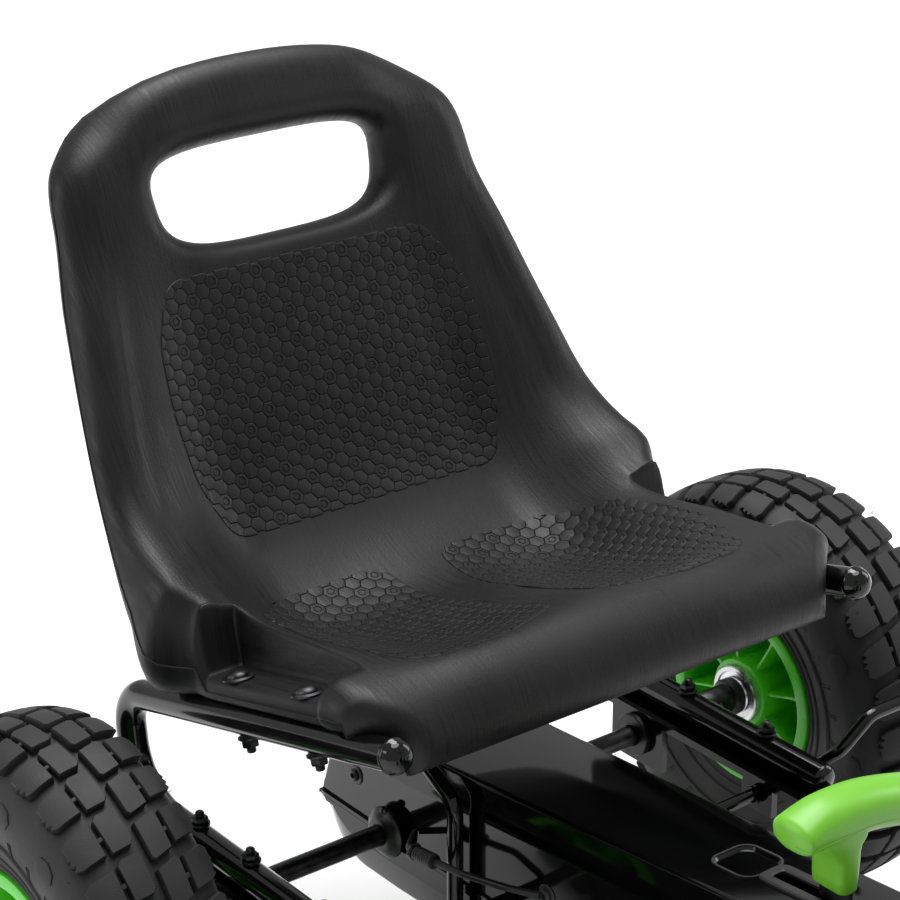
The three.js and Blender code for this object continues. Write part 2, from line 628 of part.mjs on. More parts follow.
// ---------------------------------------------------------------- seat
// Stations from the top of the back to the front lip: the middle of the seating face (x, z), the
// half width, how far the side edges stand proud of the middle, and the thickness.
const SEAT_STATIONS = [
  [-166, 539, 62, 0, 36], [-158, 520, 96, 2, 38], [-153, 497, 120, 3, 38], [-151, 470, 133, 3, 34],
  [-151, 445, 141, 3, 30], [-146, 430, 145, 2, 26], [-136, 405, 150, 4, 22], [-124, 378, 156, 8, 20],
  [-111, 350, 161, 14, 20], [-97, 320, 168, 22, 20], [-84, 293, 176, 30, 20], [-66, 276, 182, 32, 20],
  [-42, 268, 185, 27, 20], [-10, 268, 178, 22, 20], [30, 275, 168, 16, 20], [70, 286, 158, 12, 20],
  [100, 296, 152, 10, 20], [121, 298, 149, 8, 22], [137, 288, 146, 5, 22], [147, 264, 141, 0, 18],
];
const SEAT_COLUMNS = 8;
const HAND_HOLE = { halfWidth: 73, bottom: 435, top: 486, corner: 20 };

function seatRing([x, z, halfWidth, lift, thickness], forward) {
  const normal = V(-forward.z, 0, forward.x); // towards the rider
  if (normal.x + normal.z < 0) normal.negate();
  const faceRow = [];
  const backRow = [];
  for (let i = 0; i <= SEAT_COLUMNS; i++) {
    const across = (2 * i) / SEAT_COLUMNS - 1;
    const rise = lift * Math.abs(across) ** 3;
    const taper = 1 - 0.35 * across ** 8;
    const face = V(x, 0, z).addScaledVector(normal, rise);
    const back = face.clone().addScaledVector(normal, -thickness * taper);
    face.y = halfWidth * across;
    back.y = halfWidth * across;
    faceRow.push(face);
    backRow.push(back);
  }
  return [...faceRow, ...backRow.reverse()];
}

function seatShellGeometry() {
  const middle = SEAT_STATIONS.map(([x, z]) => V(x, 0, z));
  const rings = SEAT_STATIONS.map((station, i) => {
    const before = middle[Math.max(i - 1, 0)];
    const after = middle[Math.min(i + 1, middle.length - 1)];
    return seatRing(station, after.clone().sub(before).normalize());
  });
  const pieces = [loft(rings)];
  const tools = [];
  const hole = HAND_HOLE;
  const slot = new THREE.Shape();
  const [w, r, tall] = [hole.halfWidth, hole.corner, hole.top - hole.bottom];
  slot.moveTo(-w + r, 0).lineTo(w - r, 0).absarc(w - r, r, r, -Math.PI / 2, 0)
    .lineTo(w, tall - r).absarc(w - r, tall - r, r, 0, Math.PI / 2)
    .lineTo(-w + r, tall).absarc(-w + r, tall - r, r, Math.PI / 2, Math.PI)
    .lineTo(-w, r).absarc(-w + r, r, r, Math.PI, 1.5 * Math.PI);
  tools.push(new THREE.ExtrudeGeometry(slot, { depth: 120, curveSegments: 4, bevelEnabled: false })
    .applyMatrix4(new THREE.Matrix4().makeBasis(V(0, 1, 0), V(0, 0, 1), V(1, 0, 0)))
    .translate(-230, 0, hole.bottom));
  for (const [, sign] of SIDES) {
    const [y0, y1] = [141, 170].map((y) => sign * y).sort((a, b) => a - b);
    const under = SEAT_TUBE_RADIUS + GAP;
    const rise = Math.tan(RAIL_SLOPE);
    const along = (x, height) => [x, railCentreZ(x) + height / Math.cos(RAIL_SLOPE)];
    const band = (x0, x1, low, high) =>
      plate([along(x0, low), along(x1, low), along(x1, high), along(x0, high)], y0, y1);
    pieces.push(band(-40, 112, under - 3, under + SEAT_FLANGE));
    tools.push(band(-130, 175, -90 - rise, under));
    SEAT_BOLT_X.forEach((x) => {
      tools.push(seatBoltRod(x, sign, 0, 90, 3.6, 6));
      tools.push(seatBoltRod(x, sign, under + SEAT_FLANGE, 90, 9));
    });
  }
  return cut(join(...pieces), ...tools);
}
add('seat_shell', seatShellGeometry(), FINISH.blackPlastic);

// ---------------------------------------------------------------- front frame
function frontBeamGeometry() {
  const { bottom, top, halfDepth } = BEAM;
  const pieces = [
    block([-halfDepth, 16 - KINGPIN_Y, bottom], [halfDepth, KINGPIN_Y - 16, top]),
    block([-halfDepth, 4 - KINGPIN_Y, 94], [halfDepth, KINGPIN_Y - 4, top]),
  ];
  const bores = [];
  for (const [, sign] of SIDES) {
    const y = sign * KINGPIN_Y;
    pieces.push(rod(V(0, y, 94), V(0, y, 146), 14, 12));
    bores.push(rod(V(0, y, 80), V(0, y, 160), 6 + RUNNING_GAP, 12));
  }
  return cut(join(...pieces), ...bores).translate(FRONT_AXLE_X, 0, 0);
}

function knuckleGeometry(sign) {
  const at = (y) => sign * y;
  const span = (y0, y1, x0, x1, z0, z1) => {
    const [low, high] = [at(y0), at(y1)].sort((a, b) => a - b);
    return block([x0, low, z0], [x1, high, z1]);
  };
  const [upper, lower] = [[146.4, 152], [87.6, 93.6]];
  const spindleEnd = TRACK_HALF + RIM_HALF_WIDTH + GAP;
  return join(
    rod(V(0, at(KINGPIN_Y), 82), V(0, at(KINGPIN_Y), 157), 6, 10),
    rod(V(0, at(KINGPIN_Y), upper[0]), V(0, at(KINGPIN_Y), upper[1]), 13, 10),
    rod(V(0, at(KINGPIN_Y), lower[0]), V(0, at(KINGPIN_Y), lower[1]), 13, 10),
    span(KINGPIN_Y, 212, -11, 11, ...upper),
    span(KINGPIN_Y, 212, -11, 11, ...lower),
    span(206, 212, -11, 11, lower[0], upper[1]),
    rod(V(0, at(209), AXLE_Z), V(0, at(spindleEnd + 1), AXLE_Z), AXLE_RADIUS, 10),
    rod(V(0, at(209), AXLE_Z), V(0, at(TRACK_HALF - RIM_HALF_WIDTH - GAP), AXLE_Z), 11.5, 10),
    rod(V(0, at(spindleEnd), AXLE_Z), V(0, at(spindleEnd + 6), AXLE_Z), 10, 6),
    span(KINGPIN_Y - 8, KINGPIN_Y + 8, -KNUCKLE_ARM, 0, ...lower),
    rod(V(-KNUCKLE_ARM, at(KINGPIN_Y), lower[0]), V(-KNUCKLE_ARM, at(KINGPIN_Y), lower[1]), 9, 8),
    rod(V(-KNUCKLE_ARM, at(KINGPIN_Y), lower[0]), V(-KNUCKLE_ARM, at(KINGPIN_Y), 106),
      PITMAN.pinRadius, 8),
  ).translate(FRONT_AXLE_X, 0, 0);
}

add('front_beam', frontBeamGeometry(), FINISH.blackPaint);
for (const [side, sign] of SIDES) add(`knuckle_${side}`, knuckleGeometry(sign), FINISH.darkSteel);

function bumperGeometry() {
  const radius = 11;
  const [start, front] = [FRONT_AXLE_X + BEAM.halfDepth + GAP, FRONT_END_X - radius];
  const z = (BEAM.bottom + BEAM.top) / 2;
  return bentTube([[start, -118, z], [1000, -118, z], [front, -70, z], [front, 70, z], [1000, 118, z],
    [start, 118, z]], radius / Math.cos(Math.PI / 12), { bend: 30, bendSteps: 4 });
}
add('front_bumper', bumperGeometry(), FINISH.blackPaint);

// ---------------------------------------------------------------- steering
const steerBase = V(...STEER_BASE);
const steerAxis = V(...STEER_WHEEL_CENTRE).sub(steerBase);
const COLUMN_LENGTH = steerAxis.length();
steerAxis.normalize();
const steerBack = V(-steerAxis.z, 0, steerAxis.x); // square to the column, rearward and down

// A point by its distance up the column, its distance behind it and its place across the kart.
const steerPoint = (up, back, y) =>
  steerBase.clone().addScaledVector(steerAxis, up).addScaledVector(steerBack, back).add(V(0, y, 0));

const MAST = { from: 70, to: 350, outer: 14, inner: 10.8 };

function mastGeometry() {
  const tubeBody = rod(steerPoint(MAST.from, 0, 0), steerPoint(MAST.to, 0, 0), MAST.outer, 16);
  const bore = rod(steerPoint(MAST.from - 5, 0, 0), steerPoint(MAST.to + 5, 0, 0), MAST.inner, 16);
  const rearStay = rod(V(716, 0, BACKBONE.top + 1), steerPoint(140, 6, 0), 9, 12);
  const sideStays = SIDES.map(([, sign]) =>
    rod(V(FRONT_AXLE_X, sign * 74, BEAM.top + 1), steerPoint(130, -4, sign * 7), 8, 12));
  const fairingArm = rod(steerPoint(230, -8, 0), steerPoint(230, -46, 0), 7, 10);
  const floors = [
    block([690, -30, BACKBONE.top - 20], [745, 30, BACKBONE.top + GAP]),
    block([FRONT_AXLE_X - 40, -100, BEAM.top - 20], [FRONT_AXLE_X + 40, 100, BEAM.top + GAP]),
  ];
  return cut(join(tubeBody, rearStay, ...sideStays, fairingArm), bore, ...floors);
}

function columnGeometry() {
  const { length, halfWidth, pinRadius, rightEyeUp } = PITMAN;
  const seatOfWheel = COLUMN_LENGTH - 15;
  const shaft = rod(steerPoint(-6, 0, 0), steerPoint(seatOfWheel, 0, 0), 10, 16);
  const spindle = rod(steerPoint(seatOfWheel - 1, 0, 0), steerPoint(COLUMN_LENGTH + 7, 0, 0), 6, 16);
  const pitman = new THREE.BoxGeometry(2 * halfWidth, 5, length + 18)
    .translate(0, -3.5, (length - 2) / 2);
  placeOnColumn(pitman);
  const pin = rod(steerPoint(-5, length, 0), steerPoint(rightEyeUp + 5, length, 0), pinRadius);
  return join(shaft, spindle, pitman, pin);
}

// Turns a shape made round +Y, with +Z as its rearward side, onto the column.
function placeOnColumn(geometry) {
  return geometry.applyMatrix4(new THREE.Matrix4().makeBasis(V(0, -1, 0), steerAxis, steerBack))
    .translate(...STEER_BASE);
}

function steeringWheelGeometry() {
  const rimRadius = 11;
  const hubTop = COLUMN_LENGTH + 8;
  const ring = arcPoints(STEER_WHEEL_RADIUS - rimRadius, COLUMN_LENGTH, rimRadius, 0, 2 * Math.PI, 7);
  const wheel = new THREE.LatheGeometry(ring.map(([r, y]) => new THREE.Vector2(r, y)), 24);
  const hub = turned([[0, COLUMN_LENGTH - 14.7], [28, COLUMN_LENGTH - 14.7], [34, hubTop], [0, hubTop]], 20);
  const spokes = [0, 120, 240].map((degrees) =>
    new THREE.BoxGeometry(26, 8, STEER_WHEEL_RADIUS - 30).translate(0, COLUMN_LENGTH, 20 + 50)
      .rotateY(THREE.MathUtils.degToRad(degrees)));
  const bore = turned([[0, 400], [6 + GAP, 400], [6 + GAP, 600], [0, 600]], 16);
  return placeOnColumn(cut(join(wheel, hub, ...spokes), bore));
}

function wheelPadGeometry() {
  const base = COLUMN_LENGTH + 8 + GAP;
  return placeOnColumn(clean(turned([[0, base], [40, base], [40, base + 6], [34, base + 12], [0, base + 14]])));
}

// Both inner eyes turn on the pitman's one pin, the right one above the left.
function tieRodGeometry(sign) {
  const inner = steerPoint(sign > 0 ? PITMAN.leftEyeUp : PITMAN.rightEyeUp, PITMAN.length, 0);
  const outer = V(FRONT_AXLE_X - KNUCKLE_ARM, sign * KINGPIN_Y, 97.2);
  const eye = (centre, axis, radius) =>
    rod(centre.clone().addScaledVector(axis, -3), centre.clone().addScaledVector(axis, 3), radius, 10);
  const up = V(0, 0, 1);
  const bar = rod(inner, outer, 3, 6);
  const bores = [[inner, steerAxis, 0.4], [outer, up, 0.9]].map(([centre, axis, clearance]) =>
    rod(centre.clone().addScaledVector(axis, -9), centre.clone().addScaledVector(axis, 9),
      PITMAN.pinRadius + clearance, 10));
  return cut(join(bar, eye(inner, steerAxis, 7.5), eye(outer, up, 9)), ...bores);
}

add('steering_mast', mastGeometry(), FINISH.blackPaint);
add('steering_column', columnGeometry(), FINISH.blackPaint);
add('steering_wheel', steeringWheelGeometry(), FINISH.blackPlastic);
add('wheel_pad', wheelPadGeometry(), FINISH.greenPlastic);
for (const [side, sign] of SIDES) add(`tie_rod_${side}`, tieRodGeometry(sign), FINISH.darkSteel);

// ---------------------------------------------------------------- nose fairing
// Stations from the bottom front to the top rear: middle (x, z), half width, drop of the side edges.
const FAIRING_STATIONS = [
  [992, 128, 96, 8], [984, 158, 98, 18], [955, 198, 97, 30], [910, 238, 93, 40],
  [855, 280, 86, 44], [795, 320, 80, 40], [742, 350, 74, 30],
];

function fairingGeometry() {
  const wall = 4;
  const columns = 10;
  const rings = FAIRING_STATIONS.map(([x, z, halfWidth, drop]) => {
    const row = (depth) => Array.from({ length: columns + 1 }, (_, i) => {
      const across = (2 * i) / columns - 1;
      return V(x - depth * 0.5, (halfWidth - depth) * across, z - depth - drop * Math.abs(across) ** 2.5);
    });
    return [...row(0), ...row(wall).reverse()];
  });
  return loft(rings);
}
add('front_fairing', fairingGeometry(), FINISH.glossPlastic);

// ---------------------------------------------------------------- hand brake
const leverPin = V(LEVER.x, 0, LEVER.pivotZ - LEVER.pinDrop);
const brakePin = V(BRAKE.x, 0, BRAKE.z - BRAKE.armLength);

function leverBarGeometry() {
  const { x, pivotZ, halfWidth, halfThickness } = LEVER;
  const bar = block([x - halfWidth, -halfThickness, pivotZ - 10], [x + halfWidth, halfThickness, 240]);
  const foot = block([x - 6, -halfThickness, leverPin.z - 5], [x + 6, halfThickness, pivotZ]);
  const pivot = rod(V(x, -11, pivotZ), V(x, 0, pivotZ), 4, 14);
  const pin = rod(V(x, 0, leverPin.z), V(x, LINK_Y + 3, leverPin.z), 2.5, 12);
  return join(bar, foot, pivot, pin);
}

function leverBracketGeometry() {
  const { x, pivotZ } = LEVER;
  const post = block([x - 10, -8.5, BACKBONE.top + GAP], [x + 10, -2.5, pivotZ]);
  const eye = rod(V(x, -8.5, pivotZ), V(x, -2.5, pivotZ), 10, 16);
  return cut(join(post, eye), rod(V(x, -12, pivotZ), V(x, 0, pivotZ), 4 + RUNNING_GAP, 16));
}

// A cane-shaped grip: a socket over the lever under a bar that runs to the left and bends down.
function leverGripGeometry() {
  const { x } = LEVER;
  const socket = block([x - 11.7, -5.5, 221], [x + 11.7, 5.5, 254]);
  const spine = new THREE.CatmullRomCurve3([
    V(x, -36, 261), V(x, -12, 262.5), V(x, 12, 261), V(x, 36, 255.5), V(x, 60, 247), V(x, 80, 235),
  ]);
  const section = new THREE.Shape(Array.from({ length: 12 }, (_, i) => {
    const angle = ((i + 0.5) * Math.PI) / 6;
    return new THREE.Vector2(11.5 * Math.cos(angle), 14 * Math.sin(angle));
  }));
  const arch = new THREE.ExtrudeGeometry(section, { steps: 8, extrudePath: spine, bevelEnabled: false });
  const pocket = block([x - LEVER.halfWidth - GAP, -LEVER.halfThickness - GAP, 215],
    [x + LEVER.halfWidth + GAP, LEVER.halfThickness + GAP, 240 + GAP]);
  return cut(join(socket, arch), pocket);
}

function brakeBarGeometry() {
  const { x, z, radius, barX, barZ } = BRAKE;
  const end = TRACK_HALF + 34;
  const half = (sign) => [[x + 25, 178, 160], [barX, 197, barZ], [barX, end, barZ]]
    .map(([px, py, pz]) => [px, sign * py, pz]);
  const bar = bentTube([...half(-1).reverse(), [x, -175, z], [x, 175, z], ...half(1)], radius,
    { bend: [10, 9, 9, 9, 9, 10], bendSteps: 2, sides: 8 });
  const arm = block([x - 4, -1.5, brakePin.z - 4], [x + 4, 1.5, z]);
  const pin = rod(V(brakePin.x, 0, brakePin.z), V(brakePin.x, LINK_Y + 3, brakePin.z), 2.5, 12);
  return join(bar, arm, pin);
}

function brakeLinkGeometry() {
  const inner = leverPin.clone().setY(LINK_Y);
  const outer = brakePin.clone().setY(LINK_Y);
  const across = (centre, reach, radius) =>
    rod(centre.clone().add(V(0, -reach, 0)), centre.clone().add(V(0, reach, 0)), radius, 14);
  const bar = rod(inner, outer, 2.2, 8);
  return cut(join(bar, across(inner, 2.4, 5), across(outer, 2.4, 5)),
    across(inner, 9, 2.5 + RUNNING_GAP), across(outer, 9, 2.5 + 0.7));
}

add('lever_bar', leverBarGeometry(), FINISH.darkSteel);
add('lever_bracket', leverBracketGeometry(), FINISH.blackPaint);
add('lever_grip', leverGripGeometry(), FINISH.greenPlastic);
add('brake_bar', brakeBarGeometry(), FINISH.blackPaint);
add('brake_link', brakeLinkGeometry(), FINISH.darkSteel);

const frame = new THREE.Group();
frame.add(kart);
export default frame;
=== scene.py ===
"""Looks of the pedal go kart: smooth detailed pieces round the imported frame, and their materials.

Working sizes are in millimetres, measured from the rear axle (x), the centre plane (y) and the ground
(z), as in the CAD source; a mesh is moved to the shared frame and turned to metres when it is made.
"""
import math

import bmesh
import bpy
import numpy as np
from mathutils import Matrix, Vector


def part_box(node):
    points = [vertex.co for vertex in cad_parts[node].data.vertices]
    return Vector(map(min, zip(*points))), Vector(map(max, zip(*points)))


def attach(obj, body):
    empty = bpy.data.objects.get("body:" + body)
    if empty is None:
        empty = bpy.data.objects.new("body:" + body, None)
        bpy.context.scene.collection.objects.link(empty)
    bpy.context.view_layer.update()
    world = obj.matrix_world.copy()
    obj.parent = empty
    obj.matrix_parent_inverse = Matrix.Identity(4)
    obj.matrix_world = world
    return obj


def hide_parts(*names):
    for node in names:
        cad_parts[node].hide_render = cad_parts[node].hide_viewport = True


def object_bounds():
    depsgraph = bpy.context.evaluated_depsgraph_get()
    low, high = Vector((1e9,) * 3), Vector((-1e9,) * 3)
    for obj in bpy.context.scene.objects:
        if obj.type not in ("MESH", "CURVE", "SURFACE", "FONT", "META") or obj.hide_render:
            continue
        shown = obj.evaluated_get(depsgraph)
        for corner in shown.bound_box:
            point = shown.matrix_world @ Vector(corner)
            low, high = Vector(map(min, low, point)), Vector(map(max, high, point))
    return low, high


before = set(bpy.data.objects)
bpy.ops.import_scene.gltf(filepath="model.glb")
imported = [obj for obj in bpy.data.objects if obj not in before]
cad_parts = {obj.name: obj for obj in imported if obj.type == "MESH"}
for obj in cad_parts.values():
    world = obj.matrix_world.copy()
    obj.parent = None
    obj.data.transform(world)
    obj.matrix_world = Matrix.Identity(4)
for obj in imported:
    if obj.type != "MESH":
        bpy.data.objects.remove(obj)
cad_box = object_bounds()

# ------------------------------------------------------------------ driving dimensions
MM = 0.001


def middle(node):
    """Centre of a CAD node's box, in metres."""
    low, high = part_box(node)
    return (low + high) / 2


REAR_X = middle("rear_axle").x  # the rear axle in the shared frame
AXLE_Z = middle("rear_axle").z / MM
FRONT_AXLE_X = (middle("front_left_rim").x - REAR_X) / MM
TRACK_HALF = middle("rear_left_tyre").y / MM
TYRE_RADIUS = AXLE_Z
RAIL_Y = middle("seat_tube_left").y / MM
SIDES = (("left", 1), ("right", -1))

TUBE_RADIUS = 8.5
RAIL_SLOPE = math.radians(15)
RAIL_FRONT = (150, 280.2)
LOWER_LEG_Z = 154.5
SEAT_BOLT_X = (25, 86)
CLAMP_BOLT_X = (-23, 25, 91)
SEAT_FLANGE = 13

RIM_HALF_WIDTH = 31
RIM_RADIUS = 58.3
RIM_BARREL = 50
HUB_RADIUS = 22
BEARING_RADIUS = 18.4
RIB_COUNT = 8
RIB_PHASE = math.radians(16)

CASE_HALF_WIDTH = 43
CASE_SEAM_Z = 123.5
CRANK_X, CRANK_Z, CRANK_ARM, CRANK_TILT = 600, 178, 105, math.radians(20)
CHAIN_Y, CHAIN_PITCH, REAR_TEETH, CRANK_TEETH = 20, 12.7, 16, 26

STEER_BASE = np.array([836.0, 0, 133])
STEER_TOP = np.array([548.0, 0, 524])
WHEEL_RADIUS = 130
LEVER_X = 295


def rail_z(x):
    """Height of the upper rail's centre line."""
    return RAIL_FRONT[1] - (RAIL_FRONT[0] - x) * math.tan(RAIL_SLOPE)


# ------------------------------------------------------------------ shapes, as (points, faces)
def merged(*parts):
    points, faces, start = [], [], 0
    for part_points, part_faces in parts:
        part_points = np.asarray(part_points, float).reshape(-1, 3)
        points.append(part_points)
        faces += [[i + start for i in face] for face in part_faces]
        start += len(part_points)
    return np.vstack(points), faces


def moved(part, offset=(0, 0, 0), turn=None):
    points = np.asarray(part[0], float).reshape(-1, 3)
    if turn is not None:
        points = points @ np.array(turn, float).T
    return points + np.array(offset, float), part[1]


def mirrored(part, sign):
    """The part as it is for the left side, or reflected for the right side."""
    return np.asarray(part[0], float) * np.array([1, sign, 1]), part[1]


def turn_about(axis, degrees):
    return np.array(Matrix.Rotation(math.radians(degrees), 3, axis))


def basis(direction, up=(0, 0, 1)):
    """A turn that takes +Y to a direction."""
    y = np.array(direction, float)
    y /= np.linalg.norm(y)
    x = np.cross(y, np.array(up, float))
    if np.linalg.norm(x) < 1e-6:
        x = np.array([1.0, 0, 0])
    x /= np.linalg.norm(x)
    return np.column_stack([x, y, np.cross(x, y)])


def grid_faces(rows, columns, wrap_columns=False, wrap_rows=False):
    faces = []
    for r in range(rows if wrap_rows else rows - 1):
        for c in range(columns if wrap_columns else columns - 1):
            r2, c2 = (r + 1) % rows, (c + 1) % columns
            faces.append([r * columns + c, r * columns + c2, r2 * columns + c2, r2 * columns + c])
    return faces


def lathe(profile, sides=64, closed=False):
    """A turned piece about the Y axis; the profile is a list of (radius, y)."""
    rows = []
    for radius, y in profile:
        angle = np.arange(sides) * 2 * math.pi / sides
        rows.append(np.column_stack([radius * np.cos(angle), np.full(sides, y), radius * np.sin(angle)]))
    return np.vstack(rows), grid_faces(len(rows), sides, True, closed)


def loft(rings, caps=True):
    size = len(rings[0])
    faces = grid_faces(len(rings), size, True)
    if caps:
        last = (len(rings) - 1) * size
        faces += [list(range(size)), [last + i for i in range(size)]]
    return np.vstack(rings), faces


def filleted(points, radius, step=8):
    """A line of straight runs whose corners are arcs; radius is a number or one for each corner."""
    points = [np.array(p, float) for p in points]
    out = [points[0]]
    for i in range(1, len(points) - 1):
        into = points[i] - points[i - 1]
        away = points[i + 1] - points[i]
        into, away = into / np.linalg.norm(into), away / np.linalg.norm(away)
        turn = math.acos(np.clip(into @ away, -1, 1))
        r = radius[i - 1] if hasattr(radius, "__len__") else radius
        start = points[i] - into * r * math.tan(turn / 2)
        side = away - into * (into @ away)
        side /= np.linalg.norm(side)
        steps = max(2, int(math.degrees(turn) / step))
        for k in range(steps + 1):
            a = turn * k / steps
            out.append(start + into * r * math.sin(a) + side * r * (1 - math.cos(a)))
    out.append(points[-1])
    return out


def swept(path, section):
    """A section of (across, up) points carried along a path; section may be a function of the share."""
    path = [np.array(p, float) for p in path]
    count = len(path)
    rings = []
    normal = None
    for i, point in enumerate(path):
        before, after = path[max(i - 1, 0)], path[min(i + 1, count - 1)]
        tangent = (after - before) / np.linalg.norm(after - before)
        if normal is None:
            seed = np.array([0, 0, 1.0]) if abs(tangent[2]) < 0.9 else np.array([1.0, 0, 0])
            normal = seed - tangent * (seed @ tangent)
        normal = normal - tangent * (normal @ tangent)
        normal /= np.linalg.norm(normal)
        side = np.cross(tangent, normal)
        shape = np.array(section(i / (count - 1)) if callable(section) else section, float)
        rings.append(point + shape[:, :1] * side + shape[:, 1:] * normal)
    return loft(rings)


def circle(radius, sides=24, flat=1.0):
    angle = (np.arange(sides) + 0.5) * 2 * math.pi / sides
    return np.column_stack([radius * np.cos(angle), radius * flat * np.sin(angle)])


def tube(points, radius, bend=30, sides=24, step=7):
    return swept(filleted(points, bend, step) if len(points) > 2 else points, circle(radius, sides))


def inset_outline(outline, depth):
    """A closed outline moved inwards."""
    outline = np.array(outline, float)
    before, after = np.roll(outline, 1, 0), np.roll(outline, -1, 0)
    area = np.sum(outline[:, 0] * after[:, 1] - after[:, 0] * outline[:, 1])

    def normals(edge):
        n = np.column_stack([-edge[:, 1], edge[:, 0]]) / np.linalg.norm(edge, axis=1)[:, None]
        return n if area > 0 else -n

    n1, n2 = normals(outline - before), normals(after - outline)
    bisector = n1 + n2
    scale = 2 / np.maximum((bisector ** 2).sum(1), 0.6)
    return outline + bisector * scale[:, None] * depth


def plate(outline, y0, y1, edge=0.6):
    """A flat outline in X and Z with a thickness along Y and broken edges."""
    inner = inset_outline(outline, edge)
    outline = np.array(outline, float)

    def layer(shape, y):
        return np.column_stack([shape[:, 0], np.full(len(shape), y), shape[:, 1]])

    return loft([layer(inner, y0), layer(outline, y0 + edge), layer(outline, y1 - edge), layer(inner, y1)])


def rounded(x0, z0, x1, z1, radius, steps=5):
    """A rectangle with round corners."""
    out = []
    for cx, cz, start in ((x1 - radius, z1 - radius, 0), (x0 + radius, z1 - radius, 90),
                          (x0 + radius, z0 + radius, 180), (x1 - radius, z0 + radius, 270)):
        for k in range(steps + 1):
            a = math.radians(start + 90 * k / steps)
            out.append((cx + radius * math.cos(a), cz + radius * math.sin(a)))
    return out


def block(low, high, edge=1.0):
    return plate(rounded(low[0], low[2], high[0], high[2], edge, 2), low[1], high[1], edge)


def rod(start, end, radius, sides=24, edge=0.5):
    start, end = np.array(start, float), np.array(end, float)
    length = np.linalg.norm(end - start)
    profile = [(0, 0), (radius - edge, 0), (radius, edge), (radius, length - edge),
               (radius - edge, length), (0, length)]
    return moved(lathe(profile, sides), start, basis(end - start))


def turned_at(profile, base, direction, sides=24):
    return moved(lathe(profile, sides), base, basis(direction))


def hexagon(radius):
    return [(radius * math.cos(math.radians(60 * k)), radius * math.sin(math.radians(60 * k)))
            for k in range(6)]


def hex_nut(base, direction, radius, height, washer=0.0):
    """A hexagon nut with chamfered corners, on a washer, standing on a base point."""
    parts = []
    if washer:
        parts.append(turned_at([(0, 0), (washer, 0), (washer, 1.0), (washer - 0.3, 1.3), (0, 1.3)],
                               base, direction, 32))
    low = 1.3 if washer else 0
    rings = []
    for share, y in ((0.9, low), (1, low + 0.8), (1, low + height - 0.8), (0.9, low + height)):
        ring = np.array([(radius * share * a, y, radius * share * b) for a, b in hexagon(1)])
        rings.append(ring)
    parts.append(moved(loft(rings), base, basis(direction)))
    return merged(*parts)


def threaded(base, direction, radius, length, pitch=1.0):
    """A threaded bar: rings of ridges, with a rounded tip."""
    profile = [(0, 0), (radius, 0)]
    y = 0.0
    while y < length - 1.5:
        profile += [(radius, y + pitch * 0.25), (radius - 0.35, y + pitch * 0.5), (radius, y + pitch)]
        y += pitch
    profile += [(radius - 0.5, length - 0.3), (radius - 1.1, length), (0, length)]
    return turned_at(profile, base, direction, 20)


def dome(base, direction, radius, height, steps=7):
    profile = [(radius, 0)]
    for k in range(steps + 1):
        a = math.pi / 2 * k / steps
        profile.append((radius * math.cos(a), 0.4 + (height - 0.4) * math.sin(a)))
    return turned_at([(0, 0)] + profile, base, direction, 28)


# ------------------------------------------------------------------ making a piece
def piece(name, part, look, body, replaces=(), sharp=38, uv=None):
    points, faces = part
    mesh = bpy.data.meshes.new(name)
    coords = np.asarray(points, float) * MM + np.array([REAR_X, 0, 0])
    mesh.from_pydata(coords.tolist(), [], [[int(i) for i in f] for f in faces])
    if uv is not None:
        layer = mesh.uv_layers.new(name="panel")
        corner = np.zeros(len(mesh.loops), np.int32)
        mesh.loops.foreach_get("vertex_index", corner)
        layer.data.foreach_set("uv", np.asarray(uv, np.float32)[corner].ravel())
    work = bmesh.new()
    work.from_mesh(mesh)
    bmesh.ops.remove_doubles(work, verts=work.verts, dist=2e-6)
    bmesh.ops.dissolve_degenerate(work, edges=work.edges, dist=1e-6)
    bmesh.ops.recalc_face_normals(work, faces=work.faces)
    work.to_mesh(mesh)
    work.free()
    mesh.shade_smooth()
    mesh.set_sharp_from_angle(angle=math.radians(sharp))
    obj = bpy.data.objects.new(name, mesh)
    bpy.context.scene.collection.objects.link(obj)
    mesh.materials.append(look)
    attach(obj, body)
    if replaces:
        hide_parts(*replaces)
    return obj


def keep(node, look, edge=0.5):
    """A CAD node that stays: a better material, and its edges broken."""
    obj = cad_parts[node]
    obj.data.materials.clear()
    obj.data.materials.append(look)
    weld = obj.modifiers.new("weld", "WELD")
    weld.merge_threshold = 1e-5
    flat = obj.modifiers.new("flat", "DECIMATE")
    flat.decimate_type = "DISSOLVE"
    flat.angle_limit = math.radians(1)
    bevel = obj.modifiers.new("edges", "BEVEL")
    bevel.width = edge * MM
    bevel.segments = 2
    bevel.limit_method = "ANGLE"
    bevel.angle_limit = math.radians(32)
    bevel.harden_normals = True
    return obj


